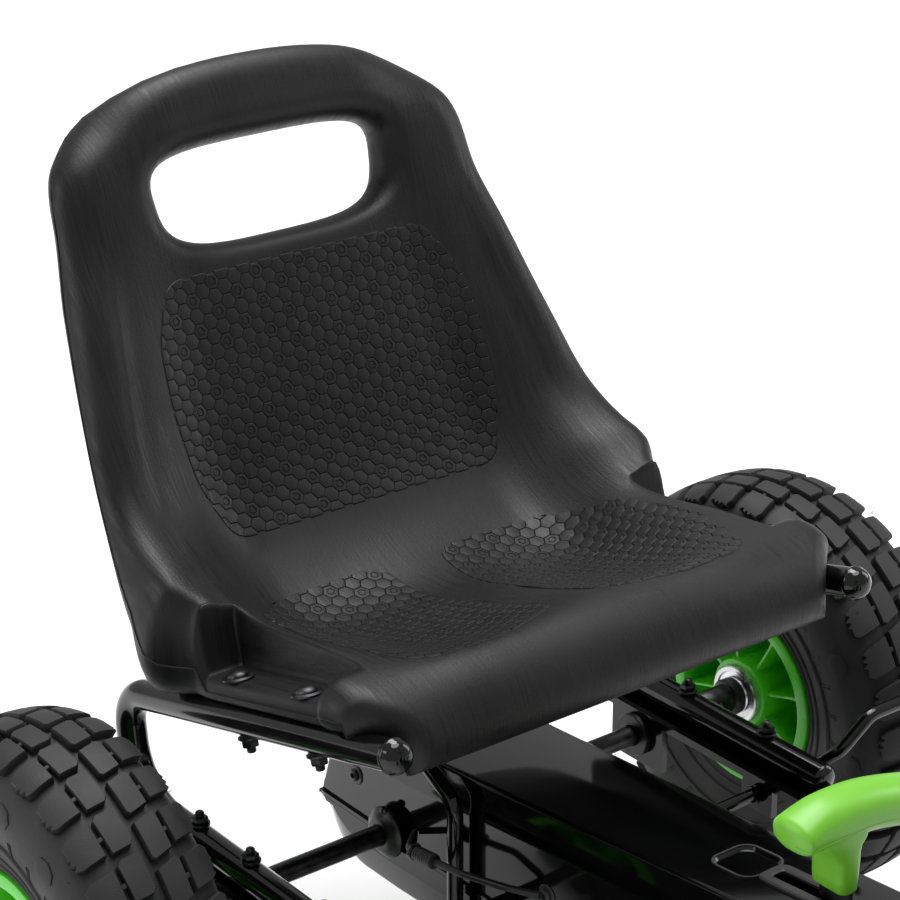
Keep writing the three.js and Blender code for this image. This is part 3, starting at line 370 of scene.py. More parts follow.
class Nodes:
    """A short way to write a node material."""

    def __init__(self, name, slot):
        self.material = bpy.data.materials.new(name)
        self.material.use_nodes = True
        self.tree = self.material.node_tree
        self.shader = self.tree.nodes["Principled BSDF"]
        self.coordinates = self.tree.nodes.new("ShaderNodeTexCoord")

    def add(self, kind, inputs=None, **settings):
        node = self.tree.nodes.new("ShaderNode" + kind)
        for key, value in settings.items():
            setattr(node, key, value)
        for key, value in (inputs or {}).items():
            if isinstance(value, bpy.types.NodeSocket):
                self.tree.links.new(value, node.inputs[key])
            else:
                node.inputs[key].default_value = value
        return node

    def link(self, output, key):
        self.tree.links.new(output, self.shader.inputs[key])

    def noise(self, scale, detail=3, stretch=None, source="Object", roughness=0.5):
        where = self.coordinates.outputs[source]
        if stretch:
            where = self.add("Mapping", {"Vector": where, "Scale": stretch}).outputs[0]
        return self.add("TexNoise", {"Vector": where, "Scale": scale, "Detail": detail,
                                     "Roughness": roughness}).outputs["Fac"]

    def ramp(self, value, stops):
        node = self.add("ValToRGB", {"Fac": value})
        element = node.color_ramp.elements
        while len(element) < len(stops):
            element.new(0.5)
        for i, (place, colour) in enumerate(stops):
            element[i].position = place
            element[i].color = (*colour, 1) if len(colour) == 3 else colour
        return node.outputs["Color"]

    def range(self, value, low, high, start=0.3, end=0.7):
        return self.add("MapRange", {"Value": value, "From Min": start, "From Max": end,
                                     "To Min": low, "To Max": high}).outputs[0]

    def bump(self, height, strength, distance, normal=None):
        inputs = {"Height": height, "Strength": strength, "Distance": distance * MM}
        if normal is not None:
            inputs["Normal"] = normal
        return self.add("Bump", inputs).outputs[0]

    def sum(self, a, b, share=1.0):
        return self.add("Math", {0: b, 1: share, 2: a}, operation="MULTIPLY_ADD").outputs[0]


def shader_values(nodes, **values):
    for key, value in values.items():
        nodes.shader.inputs[key.replace("_", " ")].default_value = value


def seat_plastic():
    n = Nodes("seat_plastic_look", "seat_plastic")
    grain = n.noise(1900, 2)
    cloud = n.noise(22, 4)
    streak = n.noise(1, 3, stretch=(900, 28, 900), source="UV")
    fine = n.noise(1, 2, stretch=(2600, 60, 2600), source="UV")
    tone = n.ramp(n.sum(cloud, streak, 0.5),
                  [(0.5, (0.0036, 0.0036, 0.0038)), (0.95, (0.0076, 0.0076, 0.0078))])
    n.link(tone, "Base Color")
    rough = n.sum(n.range(streak, 0.28, 0.5), cloud, 0.1)
    n.link(rough, "Roughness")
    first = n.bump(n.sum(grain, n.noise(700, 2), 0.8), 0.5, 0.16)
    n.link(n.bump(n.sum(streak, fine, 0.8), 0.5, 0.16, first), "Normal")
    shader_values(n, Specular_IOR_Level=0.27)
    return n.material


def rubber():
    n = Nodes("rubber_look", "tyre")
    grain = n.noise(1400, 3)
    dust = n.noise(35, 4)
    n.link(n.ramp(dust, [(0.35, (0.006, 0.006, 0.0062)), (0.75, (0.014, 0.0138, 0.0136))]), "Base Color")
    n.link(n.range(dust, 0.5, 0.7), "Roughness")
    n.link(n.bump(grain, 0.5, 0.3), "Normal")
    shader_values(n, Specular_IOR_Level=0.4)
    return n.material


def moulded(name, slot, dark, light, rough, grain=0.12, scale=700, spec=0.5, coat=0.0):
    """A coloured moulded plastic or a paint with a light orange peel."""
    n = Nodes(name, slot)
    cloud = n.noise(30, 3)
    n.link(n.ramp(cloud, [(0.3, dark), (0.75, light)]), "Base Color")
    n.link(n.range(cloud, rough[0], rough[1]), "Roughness")
    n.link(n.bump(n.noise(scale, 2), grain, 0.1), "Normal")
    shader_values(n, Specular_IOR_Level=spec, Coat_Weight=coat, Coat_Roughness=0.06)
    return n.material


def metal(name, slot, dark, light, rough, brushed=(1, 30, 1)):
    n = Nodes(name, slot)
    cloud = n.noise(160, 3)
    lines = n.noise(220, 3, stretch=brushed)
    n.link(n.ramp(cloud, [(0.3, dark), (0.7, light)]), "Base Color")
    n.link(n.range(n.sum(cloud, lines, 0.4), rough[0], rough[1], 0.45, 0.95), "Roughness")
    n.link(n.bump(lines, 0.12, 0.06), "Normal")
    shader_values(n, Metallic=1.0)
    return n.material


SEAT = seat_plastic()
RUBBER = rubber()
GREEN = moulded("green_plastic_look", "green_plastic", (0.05, 0.5, 0.006), (0.065, 0.57, 0.01), (0.22, 0.32))
GRIP = moulded("grip_plastic_look", "green_plastic", (0.14, 0.44, 0.022), (0.17, 0.49, 0.03), (0.3, 0.42),
               0.2, 1500)
GLOSS = moulded("gloss_plastic_look", "gloss_plastic", (0.0008, 0.0008, 0.0009), (0.0016, 0.0016, 0.0017),
                (0.05, 0.1), 0.03, 60, 0.4, 0.1)
PLASTIC = moulded("black_plastic_look", "black_plastic", (0.012, 0.012, 0.0125), (0.02, 0.02, 0.0205),
                  (0.36, 0.5), 0.25, 1300)
PAINT = moulded("black_paint_look", "black_paint", (0.0012, 0.0012, 0.0013), (0.0026, 0.0026, 0.0027),
                (0.08, 0.16), 0.05, 420, 0.4, 0.1)
DARK = metal("dark_steel_look", "dark_steel", (0.03, 0.03, 0.031), (0.07, 0.07, 0.072), (0.3, 0.46))
STEEL = metal("bright_steel_look", "bright_steel", (0.62, 0.62, 0.63), (0.74, 0.74, 0.75), (0.2, 0.34))


# ------------------------------------------------------------------ seat
# Down the middle of the seating face, from the top of the back to the front lip: x, z, half width,
# how far the side stands above the middle, thickness in the middle and at the side.
SEAT_LINE = np.array([
    (-188, 532, 138, -9, 30, 30), (-181, 522, 138, -10, 33, 33), (-173, 506, 138, -8, 35, 34),
    (-166, 494, 138, -4, 35, 32), (-160, 472, 138, 1, 33, 30), (-154, 447, 140, 4, 30, 28),
    (-147, 430, 144, 5, 26, 26), (-136, 405, 149.5, 7, 22, 24), (-124, 378, 155, 10, 20, 22),
    (-111, 350, 161, 13, 19, 18), (-97, 320, 166, 19, 18, 18), (-80, 296, 171, 27, 18, 24),
    (-58, 277.5, 174, 34, 18, 40), (-34, 268.5, 175, 33, 18, 50), (-10, 266.5, 172, 28, 18, 48),
    (30, 276, 168, 18, 18, 40), (70, 289, 164, 11, 19, 34), (102, 301, 167, 2, 22, 34),
    (122, 304, 165, -2, 24, 32), (137, 299, 158, -2, 24, 30), (146, 289, 149, -1, 23, 28),
    (151, 277, 143, 0, 21, 24), (154, 262, 139, 0, 18, 18),
])
ARCH = {"length": 80, "power": 2.35}
POCKET = {"rear": -6, "lean": 9, "front": 94, "round": 15, "inner": 137, "steep": 1.6, "half_width": 162}
FLOOR, UNDERSIDE = TUBE_RADIUS + 0.3 + SEAT_FLANGE, TUBE_RADIUS + 0.3
HOLE = {"z": 460.5, "half_width": 76, "half_height": 27, "power": 3.4}
EDGE_STEPS = (0, 0.25, 0.9, 2.0, 3.6, 5.8, 8.6, 12.2, 16.5)
SEAT_ROW = 3.0
CELL_PITCH, CELL_GROOVE, CELL_HEIGHT = 8.5, 0.8, 0.55


def smooth_step(t):
    t = np.clip(t, 0, 1)
    return t * t * (3 - 2 * t)


def ramp(t, ease=0.22):
    """A straight slope from 0 to 1 with a short curve at each end."""
    t = np.clip(t, 0, 1)
    top = 1 / (1 - ease)
    low = top * t * t / (2 * ease)
    high = 1 - top * (1 - t) ** 2 / (2 * ease)
    return np.where(t < ease, low, np.where(t > 1 - ease, high, top * (t - ease / 2)))


class Spline:
    """A smooth line through rows of values, by the distance along their first two columns."""

    def __init__(self, rows, smoothing=0):
        self.lay(rows)
        if smoothing:
            close = self.at(np.linspace(0, self.length, round(self.length) + 1))
            reach = 4 * smoothing
            before = 2 * close[0] - close[reach:0:-1]
            after = 2 * close[-1] - close[-2:-reach - 2:-1]
            weights = np.exp(-0.5 * (np.arange(-reach, reach + 1) / smoothing) ** 2)
            padded = np.vstack([before, close, after])
            even = [np.convolve(column, weights / weights.sum(), "valid") for column in padded.T]
            self.lay(np.column_stack(even)[::3])

    def lay(self, rows):
        self.rows = rows
        step = np.hypot(*np.diff(rows[:, :2], axis=0).T)
        self.place = np.concatenate([[0], np.cumsum(step)])
        self.slope = np.gradient(rows, self.place, axis=0)
        self.length = self.place[-1]

    def at(self, s):
        s = np.clip(np.atleast_1d(np.asarray(s, float)), 0, self.length)
        i = np.clip(np.searchsorted(self.place, s, side="right") - 1, 0, len(self.place) - 2)
        width = (self.place[i + 1] - self.place[i])[:, None]
        t = (s - self.place[i])[:, None] / width
        a, b = self.rows[i], self.rows[i + 1]
        ma, mb = self.slope[i] * width, self.slope[i + 1] * width
        return ((2 * t ** 3 - 3 * t ** 2 + 1) * a + (t ** 3 - 2 * t ** 2 + t) * ma
                + (-2 * t ** 3 + 3 * t ** 2) * b + (t ** 3 - t ** 2) * mb)


class Seat:
    """The seat as two skins over the plane of (distance down the middle, place across)."""

    def __init__(self):
        self.line = Spline(SEAT_LINE, 8)
        self.length = self.line.length
        self.hole_s = self.distance_at(1, HOLE["z"])
        self.pocket_s = self.distance_at(0, POCKET["rear"])
        self.bulge_s = self.distance_at(0, POCKET["front"])
        early = ARCH["length"] * (1 - np.cos(np.linspace(0, math.pi / 2, 160)))
        s = np.concatenate([early, np.linspace(ARCH["length"], self.length, 500)[1:]])
        half = self.half_width(s)
        self.outline = np.vstack([
            np.column_stack([s, half]), np.column_stack([s, -half])[::-1], [[0, half[0]]]])
        self.hole_outline = self.hole_line(np.linspace(0, 2 * math.pi, 260))

    def distance_at(self, column, value):
        s = np.linspace(0, self.length, 4000)
        rows = self.line.at(s)
        near = s > self.length * 0.55 if column == 0 else s < self.length * 0.5
        return s[near][np.argmin(abs(rows[near, column] - value))]

    def half_width(self, s):
        """Half width of the outline: an arch at the top, drawn in beside the pocket over the rail."""
        s = np.atleast_1d(np.asarray(s, float))
        full = self.line.at(s)[:, 2]
        up = np.clip(1 - s / ARCH["length"], 0, 1)
        arch = np.maximum(1 - up ** ARCH["power"], 0) ** (1 / ARCH["power"])
        drawn_in = smooth_step((s - self.pocket_s + 34) / 38)
        out_again = smooth_step((s - self.bulge_s - 1) / 9)
        full = full + (POCKET["half_width"] - full) * drawn_in * (1 - out_again)
        return np.maximum(full * arch, 3.0)

    def hole_line(self, angle):
        power = 2 / HOLE["power"]
        c, s = np.cos(angle), np.sin(angle)
        across = HOLE["half_width"] * np.sign(c) * abs(c) ** power
        down = HOLE["half_height"] * np.sign(s) * abs(s) ** power
        across = across * (1 - 0.05 * down / HOLE["half_height"])
        return np.column_stack([self.hole_s + down, across])

    @staticmethod
    def distance(points, line):
        """Distance of each point to a line of points."""
        best = np.full(len(points), 1e9)
        for start, end in zip(line[:-1], line[1:]):
            along = end - start
            size = along @ along
            if size < 1e-12:
                continue
            t = np.clip(((points - start) @ along) / size, 0, 1)
            best = np.minimum(best, np.hypot(*(points - start - t[:, None] * along).T))
        return best

    @staticmethod
    def rail_height(base, normal, clear):
        """How far along the normal a plane lies that runs over the rail at a clearance."""
        slope = math.tan(RAIL_SLOPE)
        plane = rail_z(base[:, 0]) + clear / math.cos(RAIL_SLOPE)
        return (plane - base[:, 1]) / (normal[:, 1] - slope * normal[:, 0])

    def surface(self, s, y):
        """Base point, normal, and the heights of the face and the back over the base line."""
        row = self.line.at(s)
        tangent = (self.line.at(s + 0.8) - self.line.at(s - 0.8))[:, :2]
        tangent /= np.linalg.norm(tangent, axis=1)[:, None]
        normal = np.column_stack([-tangent[:, 1], tangent[:, 0]])
        base = row[:, :2]
        full, lift, thin, thick = row[:, 2], row[:, 3], row[:, 4], row[:, 5]
        across = abs(y)
        band = full - 27
        side = smooth_step((across - full * 0.44) / (band - full * 0.44))
        low = smooth_step((s - self.hole_s - 10) / 60) * smooth_step((self.bulge_s + 10 - s) / 60)
        step = 1.8 * low * smooth_step((across - band + 4) / 8)
        crown = 1.3 * low * np.exp(-((across - full + 15) / 7) ** 2)
        thigh = 5.5 * np.exp(-((across - 68) / 44) ** 2) * smooth_step((s - 280) / 60) \
            * smooth_step((self.length - 48 - s) / 46)
        face = lift * side ** 1.25 + step + crown - thigh
        depth = thin + (thick - thin) * smooth_step((across - full + 60) / 42)
        back = face - depth
        dish = smooth_step((s - 150) / 12) * smooth_step((278 - s) / 12) * smooth_step((98 - across) / 12)
        back = back + 3.5 * dish * (1 - 0.9 * np.exp(-((across - 34) / 5) ** 4))
        over_rail = smooth_step((s - self.pocket_s + 50) / 30)
        beside = smooth_step((across - 130) / 9) * over_rail
        under = self.rail_height(base, normal, UNDERSIDE)
        lip = smooth_step((s - self.bulge_s - 30) / 8)
        back = back + (np.minimum(under, face - 9) - back) * beside * (1 - lip)
        floor = self.rail_height(base, normal, FLOOR)
        t = np.clip((s - self.bulge_s) / POCKET["round"], 0, 1)
        ends = ramp((s - self.pocket_s + POCKET["lean"] / 2) / POCKET["lean"]) \
            * (1 - np.sqrt(1 - (1 - t) ** 2))
        pocket = ends * ramp((across - POCKET["inner"] + POCKET["steep"]) / (2 * POCKET["steep"]))
        return base, normal, face + (floor - face) * pocket, back

    def skins(self, s, y, edge):
        """Points of the front and back skins, rounded together at the rim and the hand hole."""
        base, normal, face, back = self.surface(s, y)
        plane = np.column_stack([s, y])
        rim = self.distance(plane, self.outline)
        hole = self.distance(plane, self.hole_outline)
        handle = smooth_step((self.hole_s + 50 - s) / 50)
        pocket = smooth_step((s - self.pocket_s + 8) / 8) * smooth_step((self.bulge_s + 4 - s) / 5)
        lip = smooth_step((s - self.bulge_s) / 12)
        front_round = 12 + 9 * handle - 8 * pocket + 4 * lip
        back_round = 8 + 10 * handle - 4 * pocket
        seam_share = 0.34 + 0.14 * handle + 0.05 * pocket
        hole_round = 17 - 5 * smooth_step((s - self.hole_s) / 30)

        def roundness(distance, radius):
            near = 1 - np.clip(distance / radius, 0, 1)
            return np.where(edge, 0, np.sqrt(np.maximum(1 - near ** 2, 0)))

        seam = back + (face - back) * seam_share
        front = seam + (face - seam) * roundness(rim, front_round) * roundness(hole, hole_round)
        rear = seam + (back - seam) * roundness(rim, back_round) * roundness(hole, hole_round * 0.8)

        def points(height):
            at = base + normal * height[:, None]
            return np.column_stack([at[:, 0], y, at[:, 1]])

        return points(front), points(rear)

    def on_face(self, s, y, height):
        """Points on the seating face, raised by a height."""
        s, y = np.asarray(s, float), np.asarray(y, float)
        base, normal, face, _ = self.surface(s, y)
        at = base + normal * (face + height)[:, None]
        return np.column_stack([at[:, 0], y, at[:, 1]])


seat = Seat()


def seat_rows():
    """Distances of the rows: fine at the top, the pocket's end walls and the lip."""
    arch = ARCH["length"] * (1 - np.cos(np.linspace(0, math.pi / 2, 30)))
    rows = list(arch)
    lean = POCKET["lean"] / 2
    bulge = seat.bulge_s + POCKET["round"] * (1 - np.cos(np.linspace(0, math.pi / 2, 10)))
    for stop, step in ((seat.pocket_s - lean - 1, SEAT_ROW), (seat.pocket_s + lean + 1, 0.8),
                       (seat.bulge_s - 0.3, SEAT_ROW)):
        count = max(1, round((stop - rows[-1]) / step))
        rows += list(np.linspace(rows[-1], stop, count + 1)[1:])
    rows += list(bulge)
    stop = seat.length - EDGE_STEPS[-1]
    rows += list(np.linspace(rows[-1], stop, round((stop - rows[-1]) / 2.4) + 1)[1:])
    rows += [seat.length - e for e in reversed(EDGE_STEPS[:-1])]
    return np.array(rows)


def seat_columns(half, inner=64):
    """Places across at one row: fine near the rim and at the pocket's inner wall, even between."""
    shrink = min(1, half / 60)
    outer = half - np.array(EDGE_STEPS) * shrink
    wall = min(POCKET["inner"], outer[-1] - 6 * shrink)
    fine = wall + np.linspace(1.8, -1.8, 9) * shrink
    shelf = np.linspace(outer[-1], fine[0], 4)[1:-1]
    side = np.concatenate([outer, shelf, fine])
    even = np.linspace(fine[-1], -fine[-1], inner)[1:-1]
    return np.concatenate([side, even, -side[::-1]])


def seat_shell():
    s_rows = seat_rows()
    columns = np.array([seat_columns(h) for h in seat.half_width(s_rows)])
    rows, count = columns.shape
    plane = np.column_stack([np.repeat(s_rows, count), columns.ravel()])
    index = np.arange(rows * count).reshape(rows, count)
    edge = np.zeros((rows, count), bool)
    edge[[0, -1]] = True
    edge[:, [0, -1]] = True
    row_hit = np.where(abs(s_rows - seat.hole_s) < HOLE["half_height"] + 19)[0]
    r0, r1 = row_hit[0], row_hit[-1]
    column_hit = np.where(abs(columns[(r0 + r1) // 2]) < HOLE["half_width"] + 19)[0]
    c0, c1 = column_hit[0], column_hit[-1]
    loop = ([index[r0, c] for c in range(c0, c1)] + [index[r, c1] for r in range(r0, r1)]
            + [index[r1, c] for c in range(c1, c0, -1)] + [index[r, c0] for r in range(r1, r0, -1)])
    faces = []
    for r in range(rows - 1):
        for c in range(count - 1):
            if not (r0 <= r < r1 and c0 <= c < c1):
                faces.append([index[r, c], index[r, c + 1], index[r + 1, c + 1], index[r + 1, c]])
    border = plane[loop]
    centre = np.array([seat.hole_s, 0])
    spread = (border - centre) / np.array([HOLE["half_height"], HOLE["half_width"]])
    size = (abs(spread) ** HOLE["power"]).sum(1) ** (1 / HOLE["power"])
    inner = centre + (border - centre) / size[:, None]
    inner[:, 1] *= 1 - 0.05 * (inner[:, 0] - seat.hole_s) / HOLE["half_height"]
    rings, extra, start = [loop], [], len(plane)
    for share in (0.14, 0.3, 0.45, 0.58, 0.7, 0.8, 0.88, 0.94, 0.98, 1.0):
        extra.append(border + (inner - border) * share)
        rings.append([start + k for k in range(len(loop))])
        start += len(loop)
    for a, b in zip(rings[:-1], rings[1:]):
        for k in range(len(loop)):
            k2 = (k + 1) % len(loop)
            faces.append([a[k], a[k2], b[k2], b[k]])
    plane = np.vstack([plane] + extra)
    edge = np.concatenate([edge.ravel(), np.zeros(len(plane) - rows * count, bool)])
    edge[-len(loop):] = True
    front, rear = seat.skins(plane[:, 0], plane[:, 1], edge)
    total = len(plane)
    both = faces + [[i + total for i in reversed(face)] for face in faces]
    used = sorted(set(i for face in faces for i in face))
    keep_index = used + [i + total for i in used]
    place = {old: new for new, old in enumerate(keep_index)}
    uv = np.vstack([plane[:, ::-1], plane[:, ::-1]]) * MM
    points = np.vstack([front, rear])
    rim_line = [front[index[r, 0]] for r in range(1, rows)]
    return (points[keep_index], [[place[i] for i in f] for f in both]), uv[keep_index], rim_line


def clipped(polygon, outline):
    """The part of a polygon inside a convex outline."""
    area = sum(a[0] * b[1] - b[0] * a[1] for a, b in zip(outline, np.roll(outline, -1, 0)))
    turn = 1 if area > 0 else -1
    shape = [np.array(p, float) for p in polygon]
    for a, b in zip(outline, np.roll(outline, -1, 0)):
        inside = [turn * ((b[0] - a[0]) * (p[1] - a[1]) - (b[1] - a[1]) * (p[0] - a[0])) for p in shape]
        if min(inside, default=1) >= 0:
            continue
        kept = []
        for k, point in enumerate(shape):
            after, here, there = shape[(k + 1) % len(shape)], inside[k], inside[(k + 1) % len(shape)]
            if here >= 0:
                kept.append(point)
            if here * there < 0:
                kept.append(point + (after - point) * here / (here - there))
        shape = kept
        if len(shape) < 3:
            return None
    return np.array(shape)


def polygon_area(shape):
    after = np.roll(shape, -1, 0)
    return abs(np.sum(shape[:, 0] * after[:, 1] - after[:, 0] * shape[:, 1])) / 2


def honeycomb(outline):
    """Six-sided cells with grooves between them, laid on the seat and cut off at an outline of (s, y)."""
    outline = np.array(outline, float)
    points, faces = [], []
    column, row = CELL_PITCH * math.sqrt(3) / 2, CELL_PITCH
    circum = CELL_PITCH / math.sqrt(3)
    middle_of = (outline.max(0) + outline.min(0)) / 2
    reach = int((outline.max(0) - outline.min(0)).max() / column / 2) + 3
    low = 0.08

    def add(layers):
        start, size = len(points), len(layers[0][0])
        for shape, height in layers:
            points.extend((*p, height) for p in shape)
        for face in grid_faces(len(layers), size, True):
            faces.append([start + k for k in face])
        faces.append([start + (len(layers) - 1) * size + k for k in range(size)])

    for i in range(-reach, reach + 1):
        for j in range(-reach, reach + 1):
            centre = middle_of + np.array([(j + 0.5 * (i % 2)) * row, i * column])
            corner = np.array([(math.sin(math.radians(60 * k)), math.cos(math.radians(60 * k)))
                               for k in range(6)])
            cell = clipped(centre + corner * circum, outline)
            if cell is None or polygon_area(cell) < 9:
                continue
            whole = len(cell) == 6 and polygon_area(cell) > 0.99 * 2.598 * circum ** 2
            layers = [(cell, low), (inset_outline(cell, CELL_GROOVE * 0.5), CELL_HEIGHT * 0.9),
                      (inset_outline(cell, CELL_GROOVE * 0.8), CELL_HEIGHT)]
            if whole and i % 2 == 0 and (i // 2 + j) % 2 == 0:
                radii = (0.56, 0.5, 0.42, 0.34)
                layers += [(centre + corner * circum * r, CELL_HEIGHT + h) for r,
                           h in zip(radii, (0, -0.4, -0.4, -0.05))]
            add(layers)
    points = np.array(points)
    world = seat.on_face(points[:, 0], points[:, 1], points[:, 2])
    return (world, faces), points[:, 1::-1] * MM


def round_corners(corners, radii, steps=6):
    """A closed outline of straight sides whose corners are arcs."""
    out = []
    corners = [np.array(c, float) for c in corners]
    for k, corner in enumerate(corners):
        before = corners[k - 1] - corner
        after = corners[(k + 1) % len(corners)] - corner
        before, after = before / np.linalg.norm(before), after / np.linalg.norm(after)
        half = math.acos(np.clip(before @ after, -1, 1)) / 2
        reach = radii[k] / math.tan(half)
        centre = corner + (before + after) / np.linalg.norm(before + after) * radii[k] / math.sin(half)
        start, end = corner + before * reach - centre, corner + after * reach - centre
        sweep = math.atan2(start[0] * end[1] - start[1] * end[0], start @ end)
        for i in range(steps + 1):
            a = sweep * i / steps
            c, s = math.cos(a), math.sin(a)
            out.append(centre + np.array([c * start[0] - s * start[1], s * start[0] + c * start[1]]))
    return np.array(out)


def back_panel_outline():
    top, low = seat.distance_at(1, 422), seat.distance_at(1, 290)
    corners = [(top, 88), (top + 34, 104), (top + 72, 107), (low - 34, 104), (low, 91),
               (low, -91), (low - 34, -104), (top + 72, -107), (top + 34, -104), (top, -88)]
    return round_corners(corners, (18, 60, 140, 80, 14, 14, 80, 140, 60, 18))


def thigh_panel_outline(sign):
    rear, front = seat.distance_at(0, -42), seat.distance_at(0, 118)
    corners = [(rear, 18), (front - 15, 12), (front, 60), (front - 2, 112), (front - 67, 131),
               (rear + 40, 124), (rear, 92)]
    outline = round_corners(corners, (14, 20, 30, 26, 60, 40, 30))
    return outline * np.array([1, sign])


def seat_pieces():
    shell, uv, rim_line = seat_shell()
    piece("seat_moulding", shell, SEAT, "frame", ["seat_shell"], sharp=60, uv=uv)
    part, part_uv = honeycomb(back_panel_outline())
    piece("seat_back_panel", part, SEAT, "frame", sharp=20, uv=part_uv)
    for side, sign in SIDES:
        part, part_uv = honeycomb(thigh_panel_outline(sign))
        piece(f"seat_thigh_panel_{side}", part, SEAT, "frame", sharp=20, uv=part_uv)
        line = [point * np.array([1, sign, 1]) for point in rim_line]
        line = [line[0]] + [p for k, p in enumerate(line) if k % 3 == 0 and k] + [line[-1]]
        piece(f"seat_parting_line_{side}", swept(line, circle(0.55, 8)), SEAT, "frame", sharp=50)


seat_pieces()


# ------------------------------------------------------------------ rear frame
def rail_point(x, sign, height):
    return np.array([x - height * math.sin(RAIL_SLOPE), sign * RAIL_Y,
                     rail_z(x) + height * math.cos(RAIL_SLOPE)])


def rear_frame():
    up = np.array([-math.sin(RAIL_SLOPE), 0, math.cos(RAIL_SLOPE)])
    along = np.array([math.cos(RAIL_SLOPE), 0, math.sin(RAIL_SLOPE)])
    for side, sign in SIDES:
        y = sign * RAIL_Y
        run = RAIL_FRONT[0] + 92
        corner = (RAIL_FRONT[0] - run, y, RAIL_FRONT[1] - run * math.tan(RAIL_SLOPE))
        route = [(RAIL_FRONT[0], y, RAIL_FRONT[1]), corner, (-84, y, LOWER_LEG_Z), (137, y, LOWER_LEG_Z)]
        bar = tube(route, TUBE_RADIUS, [24, 36], 32, 4)
        tip = turned_at([(TUBE_RADIUS, -0.5), (TUBE_RADIUS * 0.97, 1), (TUBE_RADIUS * 0.7, 3.2), (0, 4.2)],
                        (137, y, LOWER_LEG_Z), (1, 0, 0), 32)
        piece(f"seat_tube_{side}_smooth", merged(bar, tip), PAINT, "frame", [f"seat_tube_{side}"], sharp=50)
        end = np.array([RAIL_FRONT[0], y, RAIL_FRONT[1]])
        plug = [(0, 0.3), (9.0, 0.3), (9.3, 0.8), (9.3, 2.6), (9.0, 3.1), (8.8, 3.4), (8.3, 5.3),
                (7.1, 7.2), (5.2, 8.6), (2.8, 9.5), (0, 9.8)]
        piece(f"tube_plug_{side}_domed", turned_at(plug, end, along, 40), GLOSS, "frame",
              [f"tube_plug_{side}"])
        for i, x in enumerate(SEAT_BOLT_X):
            top = rail_point(x, sign, TUBE_RADIUS + 0.3 + SEAT_FLANGE + 0.2)
            under = rail_point(x, sign, -TUBE_RADIUS - 0.3)
            washer = turned_at([(0, 0), (8.3, 0), (8.3, 0.9), (7.9, 1.2), (0, 1.2)], top, up, 36)
            head = dome(top + up * 1.2, up, 5.6, 3.2)
            nut = hex_nut(under, -up, 4.9, 4.2, 6)
            thread = threaded(under - up * 4, -up, 2.6, 5)
            piece(f"seat_bolt_{side}_{i + 1}_set", merged(washer, head, nut, thread), DARK, "frame",
                  [f"seat_bolt_{side}_{i + 1}"])
        for i, x in enumerate(CLAMP_BOLT_X):
            top = np.array([x, y, LOWER_LEG_Z + TUBE_RADIUS + 0.3])
            bottom = np.array([x, y, LOWER_LEG_Z - TUBE_RADIUS - 5.6])
            z = np.array([0, 0, 1.0])
            piece(f"clamp_bolt_{side}_{i + 1}_set", merged(
                hex_nut(top, z, 4.6, 3.4, 5.6), threaded(top + z * 4, z, 2.5, 4),
                hex_nut(bottom, -z, 4.6, 3.4, 5.6), threaded(bottom - z * 4, -z, 2.5, 3)), DARK, "frame",
                [f"clamp_bolt_{side}_{i + 1}"])
        keep(f"side_rail_{side}", PAINT, 0.8)
        inner = 137.7
        bush = [(6.6, inner - 4), (12.6, inner - 4), (13, inner - 3.5), (13, inner - 0.5), (12.6, inner),
                (11, inner), (11, inner + 13.5), (10.5, inner + 14), (6.6, inner + 14)]
        piece(f"axle_bush_{side}_turned",
              moved(lathe([(r, sign * v) for r, v in bush], 48, True), (0, 0, AXLE_Z)),
              DARK, "frame", [f"axle_bush_{side}"])
    cross = [(150, -137.7, 124), (150, -92, 124), (150, -60, 76), (150, 60, 76), (150, 92, 124),
             (150, 137.7, 124)]
    piece("cross_tube_smooth", tube(cross, 11, 22, 32, 5), PAINT, "frame", ["cross_tube"], sharp=50)
    piece("backbone_box", plate(rounded(161.3, 64, 874, 88, 4), -20, 20, 3), PAINT, "frame", ["backbone"])
    stay = [(14, -18, 190.5), (14, -47, 191.5), (40, -50, 191.5), (65, -50, 178), (65, -50, 76),
            (138.7, -50, 76)]
    piece("case_stay_smooth", tube(stay, 4.5, [9, 20, 16, 22], 24, 4), PAINT, "frame", ["case_stay"],
          sharp=50)
    cable = [(22, -44.5, 139), (34, -58, 140), (54, -60, 143), (84, -60, 148), (112, -52, 150),
             (128, -43.5, 150)]
    barrel = [(0, 0)]
    for k in range(8):
        barrel += [(4.3, 0.4 + 2 * k), (4.3, 1.6 + 2 * k), (3.8, 1.9 + 2 * k)]
    barrel += [(3.6, 16), (0, 16)]
    piece("drive_cable_run", merged(tube(cable, 2, [8, 14, 14, 14], 16, 8),
                                    turned_at(barrel, (44, -59.5, 141.5), (16, -0.5, 2.5), 28),
                                    hex_nut((40, -59, 140.9), (3.5, -0.4, 0.5), 5.2, 3.4)),
          PLASTIC, "frame", ["drive_cable"])


rear_frame()


# ------------------------------------------------------------------ wheels
PITCHES = 31
TREAD_DEPTH = 4.6
TYRE_PROFILE = np.array([  # radius, half width, from the crown to the bead
    (125.6, 0), (125.4, 9), (124.4, 18), (122.2, 26), (118.6, 31.8), (112.5, 36.2), (104, 38.6), (94, 38.8),
    (84, 37.2), (74, 34.4), (66, 31.6), (61, 30.2), (59, 29.2)])


